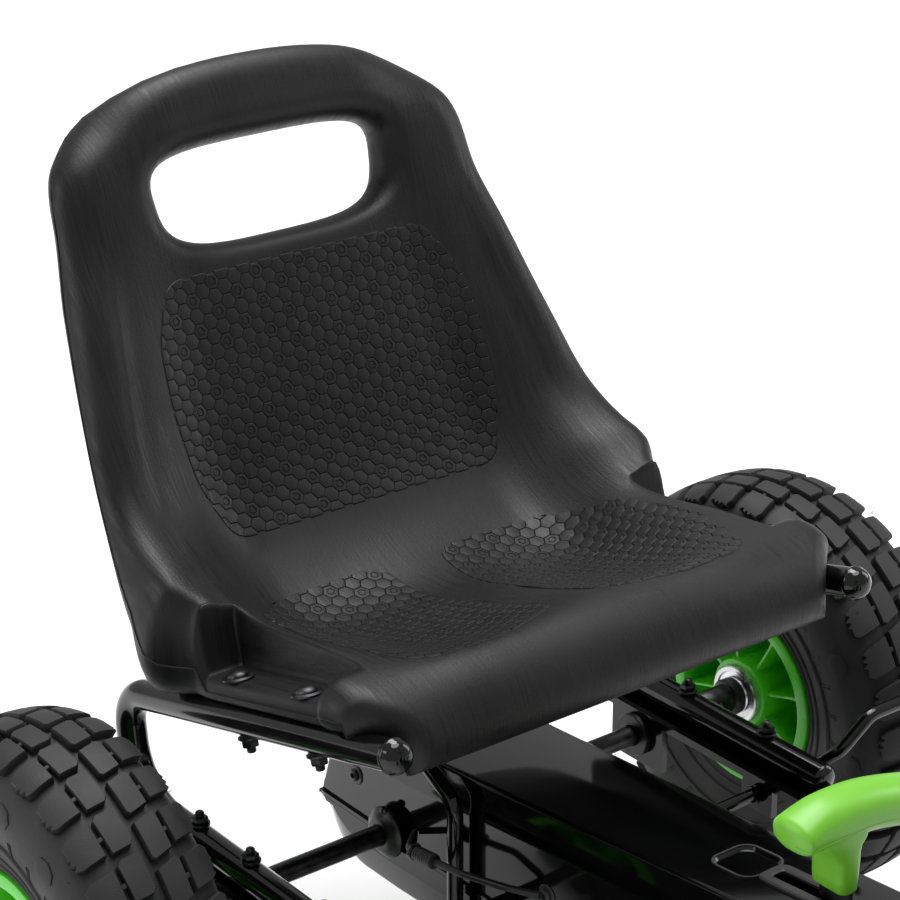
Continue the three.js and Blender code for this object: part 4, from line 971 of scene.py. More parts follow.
class TyreSkin:
    """The tyre's outer skin by distance across from the crown, and height above it."""

    def __init__(self):
        self.spline = Spline(TYRE_PROFILE)
        self.length = self.spline.length

    def at(self, across, height):
        across, height = np.broadcast_arrays(np.asarray(across, float), np.asarray(height, float))
        w = abs(across)
        row = self.spline.at(w)
        tangent = self.spline.at(w + 0.5) - self.spline.at(w - 0.5)
        tangent /= np.linalg.norm(tangent, axis=1)[:, None]
        normal = np.column_stack([tangent[:, 1], -tangent[:, 0]])
        crown = w < 0.3
        normal[crown] = (1, 0)
        out = row + normal * height[:, None]
        return out[:, 0], out[:, 1] * np.sign(np.where(across == 0, 1, across))

    def points(self, around, across, height):
        """around is a distance along the tread's circumference."""
        around, across, height = np.broadcast_arrays(*(np.asarray(v, float)
                                                       for v in (around, across, height)))
        r, y = self.at(across, height)
        angle = around / TYRE_RADIUS
        return np.column_stack([r * np.cos(angle), y, r * np.sin(angle)])


skin = TyreSkin()


def raised(outline, height, inset=0.5):
    """A raised patch on the tyre from an outline of (around, across)."""
    outline = np.array(outline, float)
    fine = []
    for a, b in zip(outline, np.roll(outline, -1, 0)):
        steps = max(1, int(np.linalg.norm(b - a) / 4))
        fine += [a + (b - a) * k / steps for k in range(steps)]
    fine = np.array(fine)
    inner = inset_outline(fine, inset)
    centre = fine.mean(0)
    core = centre + (inner - centre) * 0.5
    layers = [(fine, -0.8), (fine, height * 0.78), (inner, height), (core, height)]
    points = np.vstack([skin.points(o[:, 0], o[:, 1], h) for o, h in layers]
                       + [skin.points([centre[0]], [centre[1]], [height])])
    n = len(fine)
    faces = grid_faces(4, n, True)
    faces += [[3 * n + k, 3 * n + (k + 1) % n, 4 * n] for k in range(n)]
    return points, faces


def tread():
    parts = []
    step = 2 * math.pi * TYRE_RADIUS / PITCHES
    long = step * 0.83
    shear = 0.22

    def slanted(shape, start):
        return [(start + a + shear * w, w) for a, w in shape]

    for k in range(PITCHES):
        for half, shift in ((1, 0), (-1, 0.5)):
            start = (k + shift) * step
            inner = [(0, 2.2), (long - 2, 2.2), (long, 4), (long - 1, 14.6), (0.6, 15.4), (-1.4, 13)]
            outer = [(0.6, 17.2), (long - 2.2, 17.2), (long - 2.6, 29), (long - 4.6, 32.5), (long - 7, 31.2),
                     (long - 8.6, 33.6), (long - 11, 32), (long - 12.6, 34), (long - 14.5, 32.4),
                     (2.6, 32.6), (0, 29.5)]
            bridge = [(long * 0.42, 14), (long * 0.56, 14), (long * 0.56, 18), (long * 0.42, 18)]
            for shape, height in ((inner, TREAD_DEPTH), (outer, TREAD_DEPTH), (bridge, TREAD_DEPTH - 1.2)):
                parts.append(raised(slanted([(a, half * w) for a, w in shape], start), height))
            side = start + step * 0.3
            emblem = [(side + 10 * math.cos(math.radians(a)), half * (50 + 6.5 * math.sin(math.radians(a))))
                      for a in range(0, 360, 45)]
            if k % 2 == 0:
                parts.append(raised(emblem, 0.7, 0.6))
            for off in (0, 2.6):
                parts.append(raised([(side + 9 + off, half * 62), (side + 10 + off, half * 62),
                                     (side + 12.5 + off, half * 71), (side + 11.5 + off, half * 71)], 0.5,
                                    0.2))
    return parts


def carcass():
    across = np.linspace(0, skin.length, 30)
    r, y = skin.at(across, 0)
    outer = list(zip(r, y))
    bead = [(58.6, 28.5), (58.6, 24), (64, 22), (80, 20)]
    profile = outer + bead
    other = [(pr, -py) for pr, py in reversed(profile[1:])]
    rings = []
    for radius, offset in ((82, 37.6), (70, 33.6), (63.5, 31.4)):
        for sign in (1, -1):
            rings.append(lathe([(radius - 1.2, sign * (offset - 0.4)), (radius - 0.5, sign * (offset + 0.5)),
                                (radius + 0.5, sign * (offset + 0.4)),
                                (radius + 1.2, sign * (offset - 0.3))], 120))
    return merged(lathe(other + profile, 124), *rings)


def hairs():
    parts = []
    generator = np.random.default_rng(7)
    for _ in range(70):
        around = generator.uniform(0, 2 * math.pi * TYRE_RADIUS)
        across = generator.choice([-35, -31, -27, 27, 31, 35]) + generator.uniform(-1.5, 1.5)
        length = generator.uniform(1.4, 3.0)
        base = skin.points([around], [across], [TREAD_DEPTH - 0.3])[0]
        tip = skin.points([around + generator.uniform(-0.8, 0.8)], [across], [TREAD_DEPTH + length])[0]
        parts.append(swept([base, (base + tip) / 2, tip], lambda t: circle(0.32 * (1 - 0.8 * t), 5)))
    return parts


def rim_part():
    half = RIM_HALF_WIDTH
    ring = [(RIM_RADIUS, half - 2.6), (RIM_RADIUS, half - 0.9), (RIM_RADIUS - 0.5, half - 0.2),
            (RIM_RADIUS - 1.4, half),
            (51.2, half), (50.2, half - 0.3), (49.7, half - 1.2), (48.6, half - 9), (47.6, 5.2), (46.6, 4)]
    web = [(44, 3.4), (30, 3.2), (25.5, 3.6), (23.4, 5.4)]
    hub = [(22.7, 12), (HUB_RADIUS, half - 1.4), (HUB_RADIUS - 0.6, half - 0.3), (HUB_RADIUS - 1.5, half),
           (6.8, half), (6.4, half - 0.6)]
    face = ring + web + hub
    tyre_side = [(RIM_RADIUS, half - 2.6), (56, half - 4), (RIM_BARREL + 0.6, half - 6.5),
                 (RIM_BARREL, half - 9)]
    other = [(r, -y) for r, y in reversed(face)]
    profile = face + other + [(r, -y) for r, y in tyre_side[1:]] + list(reversed(tyre_side[1:]))
    parts = [lathe(profile, 96, True)]
    for k in range(RIB_COUNT):
        angle = RIB_PHASE + 2 * math.pi * k / RIB_COUNT
        for sign in (1, -1):
            rings = []
            for radius, top in ((21, half - 3.5), (30, half - 3.8), (40, half - 4), (49.5, half - 3)):
                width = 1.35 if 24 < radius < 45 else 2.0
                shape = [(-width - 1.0, 3), (-width - 0.15, 8), (-width * 0.86, top - 0.9),
                         (-width * 0.5, top),
                         (width * 0.5, top), (width * 0.86, top - 0.9), (width + 0.15, 8), (width + 1.0, 3)]
                rings.append(np.array([(radius, sign * y, w) for w, y in shape]))
            turn = np.array([[math.cos(angle), 0, -math.sin(angle)], [0, 1, 0],
                             [math.sin(angle), 0, math.cos(angle)]])
            parts.append(moved(loft(rings), turn=turn))
    return merged(*parts)


def bearing_part(inner):
    """A flanged bearing seen on the rim's face: ring, shield and a raised lip."""
    y = inner
    return lathe([(6.5, y + 1.2), (8.2, y), (10.6, y), (11.2, y + 0.9), (14.6, y + 1.1), (15.2, y + 0.2),
                  (BEARING_RADIUS - 0.7, y), (BEARING_RADIUS, y + 0.7), (BEARING_RADIUS, y + 3.7),
                  (6.5, y + 3.7)], 64, True)


def valve_part():
    """The tyre valve's stem and cap, standing in the gap between two ribs."""
    angle = RIB_PHASE + math.pi / RIB_COUNT
    out = np.array([math.cos(angle), 0, math.sin(angle)])
    base = out * 47.5 + np.array([0, 12, 0])
    direction = -out * 0.45 + np.array([0, 0.9, 0])
    stem = turned_at([(0, 0), (3.4, 0), (3.2, 4), (2.6, 8), (2.6, 13), (0, 13)], base, direction, 20)
    cap = [(0, 12)]
    for k in range(5):
        cap += [(3.1, 12.4 + 1.4 * k), (3.1, 13.3 + 1.4 * k), (2.85, 13.5 + 1.4 * k)]
    cap += [(2.4, 20), (0, 20.4)]
    return merged(stem, turned_at(cap, base, direction, 20))


WHEEL_BODY = {("rear", "left"): "rear_left_wheel", ("rear", "right"): "rear_axle",
              ("front", "left"): "front_left_wheel", ("front", "right"): "front_right_wheel"}


def wheels():
    tyre = merged(carcass(), *tread(), *hairs())
    rim = rim_part()
    valve = valve_part()
    for end, x in (("rear", 0), ("front", FRONT_AXLE_X)):
        for side, sign in SIDES:
            body = WHEEL_BODY[end, side]
            turn = np.eye(3) if sign > 0 else turn_about("Z", 180)
            centre = (x, sign * TRACK_HALF, AXLE_Z)
            prefix = f"{end}_{side}"
            piece(f"{prefix}_tyre_treaded", moved(tyre, centre, turn), RUBBER, body, [f"{prefix}_tyre"],
                  sharp=30)
            piece(f"{prefix}_rim_moulded", moved(rim, centre, turn), GREEN, body, [f"{prefix}_rim"],
                  sharp=40)
            piece(f"{prefix}_valve", moved(valve, centre, turn), PLASTIC, body)
            if end == "rear":
                face = bearing_part(-RIM_HALF_WIDTH - 4)
                piece(f"{prefix}_bearing_ring", moved(face, centre, turn), STEEL, body,
                      [f"{prefix}_bearing"])
            outer = lathe([(6.6, RIM_HALF_WIDTH - 2), (15, RIM_HALF_WIDTH - 2), (15, RIM_HALF_WIDTH + 0.1),
                           (14, RIM_HALF_WIDTH + 0.25), (6.6, RIM_HALF_WIDTH + 0.25)], 48, True)
            piece(f"{prefix}_outer_bearing", moved(outer, centre, turn), STEEL, body)


wheels()


# ------------------------------------------------------------------ more shapes
def carved(part, *tools):
    """A closed part with other closed parts cut out of it."""
    def solid(shape):
        mesh = bpy.data.meshes.new("carving")
        mesh.from_pydata(np.asarray(shape[0], float).tolist(), [], [[int(i) for i in f] for f in shape[1]])
        work = bmesh.new()
        work.from_mesh(mesh)
        bmesh.ops.remove_doubles(work, verts=work.verts, dist=1e-4)
        bmesh.ops.recalc_face_normals(work, faces=work.faces)
        work.to_mesh(mesh)
        work.free()
        obj = bpy.data.objects.new("carving", mesh)
        bpy.context.scene.collection.objects.link(obj)
        return obj

    blank = solid(part)
    cutters = [solid(tool) for tool in tools]
    for cutter in cutters:
        modifier = blank.modifiers.new("cut", "BOOLEAN")
        modifier.object = cutter
        modifier.operation = "DIFFERENCE"
        modifier.solver = "EXACT"
    graph = bpy.context.evaluated_depsgraph_get()
    mesh = blank.evaluated_get(graph).to_mesh()
    points = np.array([tuple(v.co) for v in mesh.vertices])
    faces = [list(p.vertices) for p in mesh.polygons]
    for obj in (blank, *cutters):
        data = obj.data
        bpy.data.objects.remove(obj)
        bpy.data.meshes.remove(data)
    return points, faces


def link_outline(a, ra, b, rb, steps=10):
    """The outline round two circles, as a flat link has."""
    a, b = np.array(a, float), np.array(b, float)
    away = b - a
    heading = math.atan2(away[1], away[0])
    lean = math.acos(np.clip((ra - rb) / np.linalg.norm(away), -1, 1))
    out = []
    for centre, radius, start, end in ((a, ra, heading + lean, heading + 2 * math.pi - lean),
                                       (b, rb, heading - lean, heading + lean)):
        for k in range(steps + 1):
            angle = start + (end - start) * k / steps
            out.append(centre + radius * np.array([math.cos(angle), math.sin(angle)]))
    return np.array(out)


def slab(outline, z0, z1, edge=0.6):
    """A flat outline in X and Y with a thickness along Z."""
    return moved(plate([(x, -y) for x, y in outline], z0, z1, edge), turn=turn_about("X", 90))


def ring_about(inner, outer, start, end, edge=0.6, sides=40):
    """A sleeve about the Y axis."""
    return lathe([(inner, start), (outer - edge, start), (outer, start + edge), (outer, end - edge),
                  (outer - edge, end), (inner, end)], sides, True)


def weld(path, radius=1.7):
    """A bead of weld with its ripples."""
    def section(share):
        return circle(radius * (1 + 0.14 * math.sin(share * 150)), 8)
    return swept_loop(path, section)


def swept_loop(path, section):
    path = [np.array(p, float) for p in path]
    count = len(path)
    rings = []
    for i, point in enumerate(path):
        tangent = path[(i + 1) % count] - path[i - 1]
        tangent /= np.linalg.norm(tangent)
        out = point - np.mean(path, axis=0)
        out -= tangent * (out @ tangent)
        out /= np.linalg.norm(out)
        side = np.cross(tangent, out)
        shape = section(i / count)
        rings.append(point + shape[:, :1] * side + shape[:, 1:] * out)
    return np.vstack(rings), grid_faces(count, len(rings[0]), True, True)


def hoop(centre, direction, radius, sides=48):
    """Points round a circle square to a direction."""
    turn = basis(direction)
    angle = np.arange(sides) * 2 * math.pi / sides
    flat = np.column_stack([radius * np.cos(angle), np.zeros(sides), radius * np.sin(angle)])
    return flat @ turn.T + np.array(centre, float)


def screw(base, direction, radius=4.0):
    """A low round screw head with a round socket."""
    head = [(0, 0.5), (radius * 0.42, 0.5), (radius * 0.42, 1.7), (radius * 0.55, 2.0), (radius * 0.8, 1.75),
            (radius * 0.97, 1.1), (radius, 0.4), (radius, -0.4), (0, -0.4)]
    return turned_at(head, base, direction, 24)


# ------------------------------------------------------------------ axle and chain drive
def rear_axle():
    half = [(6, 152), (6, 187.5), (8.6, 188), (9, 188.6), (9, 209.6), (10.9, 210), (11.5, 210.6),
            (11.5, 216.1), (11, 216.7), (6, 216.7), (6, 283.2)]
    other = [(r, -y) for r, y in reversed(half)]
    shaft = lathe([(0, -289.6), (4.2, -289.6), (5.4, -288.6), (5.4, -283.2)] + other
                  + half + [(5.4, 283.2), (5.4, 288.6), (4.2, 289.6), (0, 289.6)], 40)
    parts = [shaft]
    for _, sign in SIDES:
        end = np.array([0, sign * 283.4, 0])
        parts.append(hex_nut(end, (0, sign, 0), 9.8, 4.6))
        collar = np.array([0, sign * 199, 0])
        parts.append(turned_at([(0, 0), (2, 0), (2, 1.4), (3.2, 1.4), (3.2, 0), (3.8, 0), (3.8, -1),
                                (0, -1)],
                               collar + np.array([9, 0, 0]), (1, 0, 0), 16))
    piece("rear_axle_turned", moved(merged(*parts), (0, 0, AXLE_Z)), DARK, "rear_axle", ["rear_axle"])
    collar = [(6.3, -45), (13.4, -45), (14, -45.6), (15, -47.4), (15, -48.6), (14.2, -49.6), (12.5, -51),
              (10.4, -52.2), (9.2, -53), (6.3, -53)]
    piece("axle_collar_turned", moved(merged(lathe(collar, 48, True), screw((0, -49, 14.4), (0, 0, 1), 2.4)),
                                      (0, 0, AXLE_Z)), DARK, "rear_axle", ["axle_collar"])


def pitch_radius(teeth):
    return CHAIN_PITCH / (2 * math.sin(math.pi / teeth))


def sprocket(teeth, bore, windows):
    """A toothed disc with lightening holes and a boss."""
    pitch = pitch_radius(teeth)
    outline = []
    for k in range(teeth):
        for share, radius in ((0, -4.0), (0.1, -3.7), (0.22, -2.2), (0.34, 0.9), (0.44, 2.6), (0.56, 2.6),
                              (0.66, 0.9), (0.78, -2.2), (0.9, -3.7)):
            angle = 2 * math.pi * (k + share) / teeth
            outline.append(((pitch + radius) * math.cos(angle), (pitch + radius) * math.sin(angle)))
    disc = plate(outline, CHAIN_Y - 1.2, CHAIN_Y + 1.2, 0.3)
    tools = [rod((0, CHAIN_Y - 9, 0), (0, CHAIN_Y + 9, 0), bore, 32, 0.1)]
    for k in range(windows):
        angle = 2 * math.pi * k / windows
        place = np.array([math.cos(angle), 0, math.sin(angle)]) * pitch * 0.62
        tools.append(rod(place + (0, CHAIN_Y - 4, 0), place + (0, CHAIN_Y + 4, 0), pitch * 0.17, 24, 0.1))
    boss = ring_about(bore, bore + 7, CHAIN_Y - 5, CHAIN_Y + 5, 0.8)
    return merged(carved(disc, *tools), boss)


def chain_path():
    """Equal steps of about one pitch round both sprockets."""
    rise = math.atan2(CRANK_Z - AXLE_Z, CRANK_X)
    span = math.hypot(CRANK_X, CRANK_Z - AXLE_Z)
    small, large = pitch_radius(REAR_TEETH), pitch_radius(CRANK_TEETH)
    lean = math.asin((large - small) / span)
    upper, lower = rise + math.pi / 2 + lean, rise - math.pi / 2 - lean
    points = []
    for (x, z), radius, start, end in (((0, AXLE_Z), small, upper, lower + 2 * math.pi),
                                       ((CRANK_X, CRANK_Z), large, lower, upper)):
        for k in range(41):
            angle = start + (end - start) * k / 40
            points.append((x + radius * math.cos(angle), z + radius * math.sin(angle)))
    points.append(points[0])
    points = np.array(points)
    place = np.concatenate([[0], np.cumsum(np.hypot(*np.diff(points, axis=0).T))])
    count = 2 * round(place[-1] / CHAIN_PITCH / 2)
    at = np.arange(count) * place[-1] / count
    return np.column_stack([np.interp(at, place, points[:, 0]), np.interp(at, place, points[:, 1])])


def chain_links():
    path = chain_path()
    parts = []
    for k, (a, b) in enumerate(zip(path, np.roll(path, -1, 0))):
        outer = k % 2 == 0
        near = 2.6 if outer else 1.8
        waist = (a + b) / 2
        across = np.array([-(b - a)[1], (b - a)[0]]) / np.linalg.norm(b - a)
        shape = link_outline(a, 3.9, b, 3.9, 4)
        shape = np.insert(shape, 5, waist - across * 2.7, 0)
        shape = np.vstack([shape, waist + across * 2.7])
        for sign in (1, -1):
            y0, y1 = sorted((CHAIN_Y + sign * near, CHAIN_Y + sign * (near + 0.75)))
            parts.append(plate(shape, y0, y1, 0.15))
        parts.append(rod((a[0], CHAIN_Y - 3.7, a[1]), (a[0], CHAIN_Y + 3.7, a[1]), 1.7, 10, 0.2))
        parts.append(rod((a[0], CHAIN_Y - 1.7, a[1]), (a[0], CHAIN_Y + 1.7, a[1]), 3.2, 12, 0.2))
    return merged(*parts)


def crank_parts():
    parts = [rod((0, -52, 0), (0, 52, 0), 8, 32)]
    for _, sign in SIDES:
        reach = -sign * CRANK_ARM
        y0, y1 = sorted((sign * 43, sign * 51))
        arm = link_outline((0, 0), 13, (reach, 0), 10)
        groove = plate(link_outline((-sign * 22, 0), 3.6, (reach + sign * 20, 0), 2.8),
                       *sorted((sign * 49.6, sign * 53)), 0.2)
        parts += [carved(plate(arm, y0, y1, 1.4), groove),
                  hex_nut((0, sign * 51, 0), (0, sign, 0), 8.5, 4.6, 11),
                  rod((reach, sign * 43, 0), (reach, sign * 131, 0), 5, 28),
                  turned_at([(0, 0), (7.5, 0), (7.5, 4.8), (6.8, 5.6), (0, 5.6)], (reach, sign * 51, 0),
                            (0, sign, 0), 32)]
    return moved(merged(*parts), (CRANK_X, 0, CRANK_Z), turn_about("Y", -math.degrees(CRANK_TILT)))


def pedal_parts():
    """The left pedal about its spindle: a barrel, two cages and four ribbed treads."""
    parts = [ring_about(5.4, 9.2, 60, 134, 1.0),
             lathe([(0, 132.2), (7, 132.2), (8, 133), (8, 135), (7, 136), (0, 136)], 36)]
    cage = rounded(-34, -10, 34, 10, 7)
    bore = rod((0, 50, 0), (0, 128, 0), 5.4, 24)
    for y0, y1 in ((60, 66), (95, 99), (130, 135)):
        parts.append(carved(plate(cage, y0, y1, 1.2), bore) if y1 < 120 else plate(cage, y0, y1, 1.2))
    for x in (-30, -17, 17, 30):
        parts.append(block((x - 3.2, 63, -10.6), (x + 3.2, 133, 10.6), 1.4))
        for k in range(10):
            y = 68 + 6.6 * k
            parts.append(block((x - 2.6, y, -12.9), (x + 2.6, y + 3.4, 12.9), 0.9))
    for x in (-34, 34):
        parts.append(block((x - 0.9, 82, -6), (x + 0.9, 114, 6), 0.8))
    return merged(*parts)


def drive():
    rear_axle()
    piece("rear_sprocket_cut", moved(sprocket(REAR_TEETH, 6.3, 5), (0, 0, AXLE_Z)), DARK, "rear_axle",
          ["rear_sprocket"])
    piece("crank_sprocket_cut", moved(sprocket(CRANK_TEETH, 8.3, 6), (CRANK_X, 0, CRANK_Z)), DARK, "crank",
          ["crank_sprocket"])
    piece("chain_links", chain_links(), DARK, "frame", ["chain"], sharp=30)
    piece("crank_forged", crank_parts(), DARK, "crank", ["crank"])
    for side, sign in SIDES:
        place = (CRANK_X - sign * CRANK_ARM * math.cos(CRANK_TILT), 0,
                 CRANK_Z - sign * CRANK_ARM * math.sin(CRANK_TILT))
        piece(f"{side}_pedal_moulded", moved(mirrored(pedal_parts(), sign), place), PLASTIC, f"{side}_pedal",
              [f"{side}_pedal"])
    shell = moved(ring_about(8.4, 15, -28, 13, 1.0, 48), (CRANK_X, 0, CRANK_Z))
    tools = [rod((CRANK_X, -40, CRANK_Z), (CRANK_X, 30, CRANK_Z), 14, 40)]
    post = carved(plate(rounded(CRANK_X - 14, 88.4, CRANK_X + 14, 176, 3), -10, 4, 1.2), *tools)
    foot = plate(rounded(CRANK_X - 18, 88.4, CRANK_X + 18, 91.4, 1.2), -12, 6, 0.8)
    beads = [weld(hoop((CRANK_X, y, CRANK_Z), (0, 1, 0), 15), 1.1) for y in (-10, 4)]
    piece("crank_bracket_welded", merged(shell, post, foot, *beads), PAINT, "frame", ["crank_bracket"])


drive()


# ------------------------------------------------------------------ chain case
CASE_SLOT = {"rear": 256, "front": 314, "half": 4}
CASE_PAD = {"rear": 222, "front": 248, "half": 12, "depth": 1.4}
CASE_WALL = 2.5


def case_top(x):
    return 183 + 0.095 * np.asarray(x, float)


def case_share(x):
    """How the case's width shrinks towards the front."""
    return 1 - 0.17 * np.clip((np.asarray(x, float) - 35) / 250, 0, 1)


def case_stations():
    rear = -67 + 17 * (1 - np.cos(np.linspace(0, math.pi / 2, 9)))
    low_rear = np.linspace(-50, -15, 7)[1:]
    middle_run = np.linspace(-15, 600, 52)[1:]
    nose = 600 + 62 * np.sin(np.linspace(0, math.pi / 2, 15))[1:]
    return np.concatenate([rear, low_rear, middle_run, nose])


def case_body(inset):
    """The case's bulk as sections along it, with a slanted shoulder round both side faces."""
    rings = []
    for x in case_stations():
        back = math.sqrt(max(1 - max((-50 - x) / 17, 0) ** 2, 0))
        low_back = math.sqrt(max(1 - max((-32 - x) / 35, 0) ** 2, 0))
        top = CASE_SEAM_Z + (float(case_top(max(x, -50))) - CASE_SEAM_Z) * back
        low = CASE_SEAM_Z - (CASE_SEAM_Z - (88 + 28 * max(x, 0) / 600)) * low_back
        if x > 600:
            reach = math.sqrt(max(62 ** 2 - (x - 600) ** 2, 0))
            top, low = CRANK_Z + reach, CRANK_Z - reach
        tall = max(top - low, 1.2)
        mid = (top + low) / 2
        top, low = mid + tall / 2, mid - tall / 2
        give = inset * min(1, tall / 12)
        top, low = top - give, low + give
        half = CASE_HALF_WIDTH - inset
        slant = min(20, (top - low) * 0.42)
        corner = min(3.2, (top - low) * 0.07)
        section = round_corners([(half, low + slant), (half, top - slant), (half - 5, top), (5 - half, top),
                                 (-half, top - slant), (-half, low + slant), (5 - half, low),
                                 (half - 5, low)],
                                [corner] * 8, 4)
        nearly = -67 + inset + (x + 67) * (1 - 2 * inset / 729)
        rings.append(np.column_stack([np.full(len(section), nearly), section[:, 0] * case_share(x),
                                      section[:, 1]]))
    return loft(rings)


def band(low, high):
    return block((-100, -60, low), (700, 60, high), 0.2)


def on_case(outlines, heights):
    """Stacked outlines of (x, y) at heights over the case's top."""
    rings = []
    for shape, height in zip(outlines, heights):
        shape = np.array(shape, float)
        rings.append(np.column_stack([shape[:, 0], shape[:, 1], case_top(shape[:, 0]) + height]))
    return rings


def chain_case():
    outside, inside = case_body(0), case_body(CASE_WALL)
    holes = [rod((x, -60, z), (x, 60, z), r, 40, 0.1)
             for x, z, r in ((0, AXLE_Z, 8), (CRANK_X, CRANK_Z, 10), (102, 135, 5.5))]
    slot = CASE_SLOT
    slit = block((slot["rear"], -slot["half"], 195), (slot["front"], slot["half"], 230), 1.5)
    pad = CASE_PAD
    outline = rounded(pad["rear"], -pad["half"], pad["front"], pad["half"], 6)
    wide = inset_outline(outline, -1.3)
    dent = loft(on_case([wide, wide, outline], [6, 0.1, -pad["depth"]])[::-1])
    seam = 0.15
    upper = carved(outside, band(40, CASE_SEAM_Z + seam), inside, slit, dent, *holes)
    lip = case_body(-1.6)
    upper_rib = carved(lip, band(40, CASE_SEAM_Z + seam), band(126, 320), case_body(0.8), *holes[:1])
    piece("chain_case_top", merged(upper, upper_rib), GLOSS, "frame", ["chain_case_upper"], sharp=32)
    post_hole = block((CRANK_X - 18, -14, 80), (CRANK_X + 18, 8, 135), 0.5)
    bracket_hole = block((LEVER_X - 14, -13, 80), (LEVER_X + 14, 1, 125), 0.5)
    lower = carved(outside, band(CASE_SEAM_Z - seam, 320), inside, post_hole, bracket_hole, *holes)
    lower_rib = carved(lip, band(CASE_SEAM_Z - seam, 320), band(40, 121), case_body(0.8), *holes[:1])
    feet = [block((x, -15, 88.4), (x + 30, 15, z), 1.5) for x, z in ((190, 100), (450, 111))]
    piece("chain_case_bottom", merged(lower, lower_rib, *feet), GLOSS, "frame", ["chain_case_lower"],
          sharp=32)
    inner = rounded(slot["rear"], -slot["half"], slot["front"], slot["half"], 1.5)
    outer = rounded(slot["rear"] - 6, -slot["half"] - 6, slot["front"] + 6, slot["half"] + 6, 6)
    inner_up, outer_in = inset_outline(inner, -0.9), inset_outline(outer, 0.9)
    rings = on_case([outer, outer, outer_in, inner_up, inner, inner], [-0.6, 1.3, 2.1, 2.1, 1.4, -2.2])
    frame_ring = np.vstack(rings), grid_faces(6, len(inner), True, True)
    piece("lever_slot_frame", frame_ring, PLASTIC, "frame", sharp=35)
    rim_out, rim_in = inset_outline(outline, -2.6), inset_outline(outline, -1.4)
    rings = on_case([rim_out, rim_out, rim_in, rim_in], [-0.6, 0.7, 0.7, -0.6])
    piece("case_pad_rim", (np.vstack(rings), grid_faces(4, len(outline), True, True)), PLASTIC, "frame",
          sharp=35)
    screws = []
    for x in (-34, 130, 250, 390, 520, 610):
        half = CASE_HALF_WIDTH * float(case_share(x))
        for sign in (1, -1):
            base = np.array([x, sign * (half - 0.2), 150 if x < 600 else 196])
            screws.append(turned_at([(0, 0), (6.2, 0), (6.2, 0.9), (5.6, 1.5), (0, 1.5)],
                                    base - (0, sign * 0.4, 0), (0, sign, 0), 32))
            screws.append(screw(base + (0, sign * 1.1, 0), (0, sign, 0), 3.6))
    piece("case_screws", merged(*screws), PLASTIC, "frame")


chain_case()


# ------------------------------------------------------------------ front end
KINGPIN_Y, KNUCKLE_ARM = 190, 55
BEAM_LOW, BEAM_TOP = 88.3, 116.3


def front_beam():
    x = FRONT_AXLE_X
    parts = [plate(rounded(x - 14, BEAM_LOW, x + 14, BEAM_TOP, 4), -173.8, 173.8, 1.5)]
    for _, sign in SIDES:
        y = sign * KINGPIN_Y
        sleeve = moved(ring_about(6.4, 14, 94, 146, 1.2, 48), (x, y, 0), basis((0, 0, 1)))
        hole = rod((x, y, 80), (x, y, 160), 13.5, 40)
        neck = carved(block((x - 14, min(sign * 172, sign * 187), 94),
                            (x + 14, max(sign * 172, sign * 187), BEAM_TOP), 2), hole)
        gusset = [(sign * 140, BEAM_TOP - 1), (sign * 178, BEAM_TOP - 1), (sign * 178, 140),
                  (sign * 172, 140)]
        flat = moved(plate([(w, z) for w, z in gusset], -2.5, 2.5, 0.5), (x, 0, 0), turn_about("Z", 90))
        parts += [sleeve, neck, flat, weld(hoop((x, y, BEAM_TOP), (0, 0, 1), 14), 1.4)]
    return merged(*parts)


def knuckle():
    """The left knuckle, about the front axle's middle."""
    pin = (0, KINGPIN_Y)
    up = np.array([0, 0, 1.0])
    parts = [rod((0, KINGPIN_Y, 84), (0, KINGPIN_Y, 155), 6, 32),
             hex_nut((0, KINGPIN_Y, 152), up, 9, 4.6), hex_nut((0, KINGPIN_Y, 87.6), -up, 9, 5)]
    for z0, z1 in ((146.4, 152), (87.6, 93.6)):
        hole = rod((0, KINGPIN_Y, z0 - 3), (0, KINGPIN_Y, z1 + 3), 5.9, 32)
        parts.append(carved(slab(link_outline(pin, 13, (0, 203), 11), z0, z1, 0.8), hole))
    parts.append(block((-11, 206, 87.6), (11, 212, 152), 2))
    parts.append(slab(link_outline((0, KINGPIN_Y), 8, (-KNUCKLE_ARM, KINGPIN_Y), 9), 87.8, 93.4, 0.8))
    spindle = [(0, 209), (13.5, 209), (13.5, 213.5), (11.5, 215), (11.5, 220.2), (11, 220.7), (6, 220.7),
               (6, 283.2), (5.4, 283.4), (5.4, 288.4), (4.6, 289.2), (0, 289.2)]
    parts += [moved(lathe(spindle, 40), (0, 0, AXLE_Z)), hex_nut((0, 283.4, AXLE_Z), (0, 1, 0), 9.8, 4.6)]
    steer_pin = np.array([-KNUCKLE_ARM, KINGPIN_Y, 93.4])
    parts += [rod(steer_pin - up * 3, steer_pin + up * 16, 4, 24),
              hex_nut(steer_pin + up * 12.8, up, 6, 3.2), hex_nut(steer_pin - up * 5.7, -up, 6.2, 3.6)]
    return merged(*parts)


def bumper():
    z = (BEAM_LOW + BEAM_TOP) / 2
    start, front = FRONT_AXLE_X + 14.3, 999
    bar = tube([(start, -118, z), (1000, -118, z), (front, -70, z), (front, 70, z), (1000, 118, z),
                (start, 118, z)],
               11, 30, 40, 4)
    parts = [bar]
    for _, sign in SIDES:
        parts.append(turned_at([(0, 0), (17.2, 0), (18, 0.8), (18, 3.2), (17.2, 4), (0, 4)],
                               (start, sign * 118, z), (1, 0, 0), 40))
        parts.append(weld(hoop((start + 4.4, sign * 118, z), (1, 0, 0), 11.2), 1.3))
    return merged(*parts)


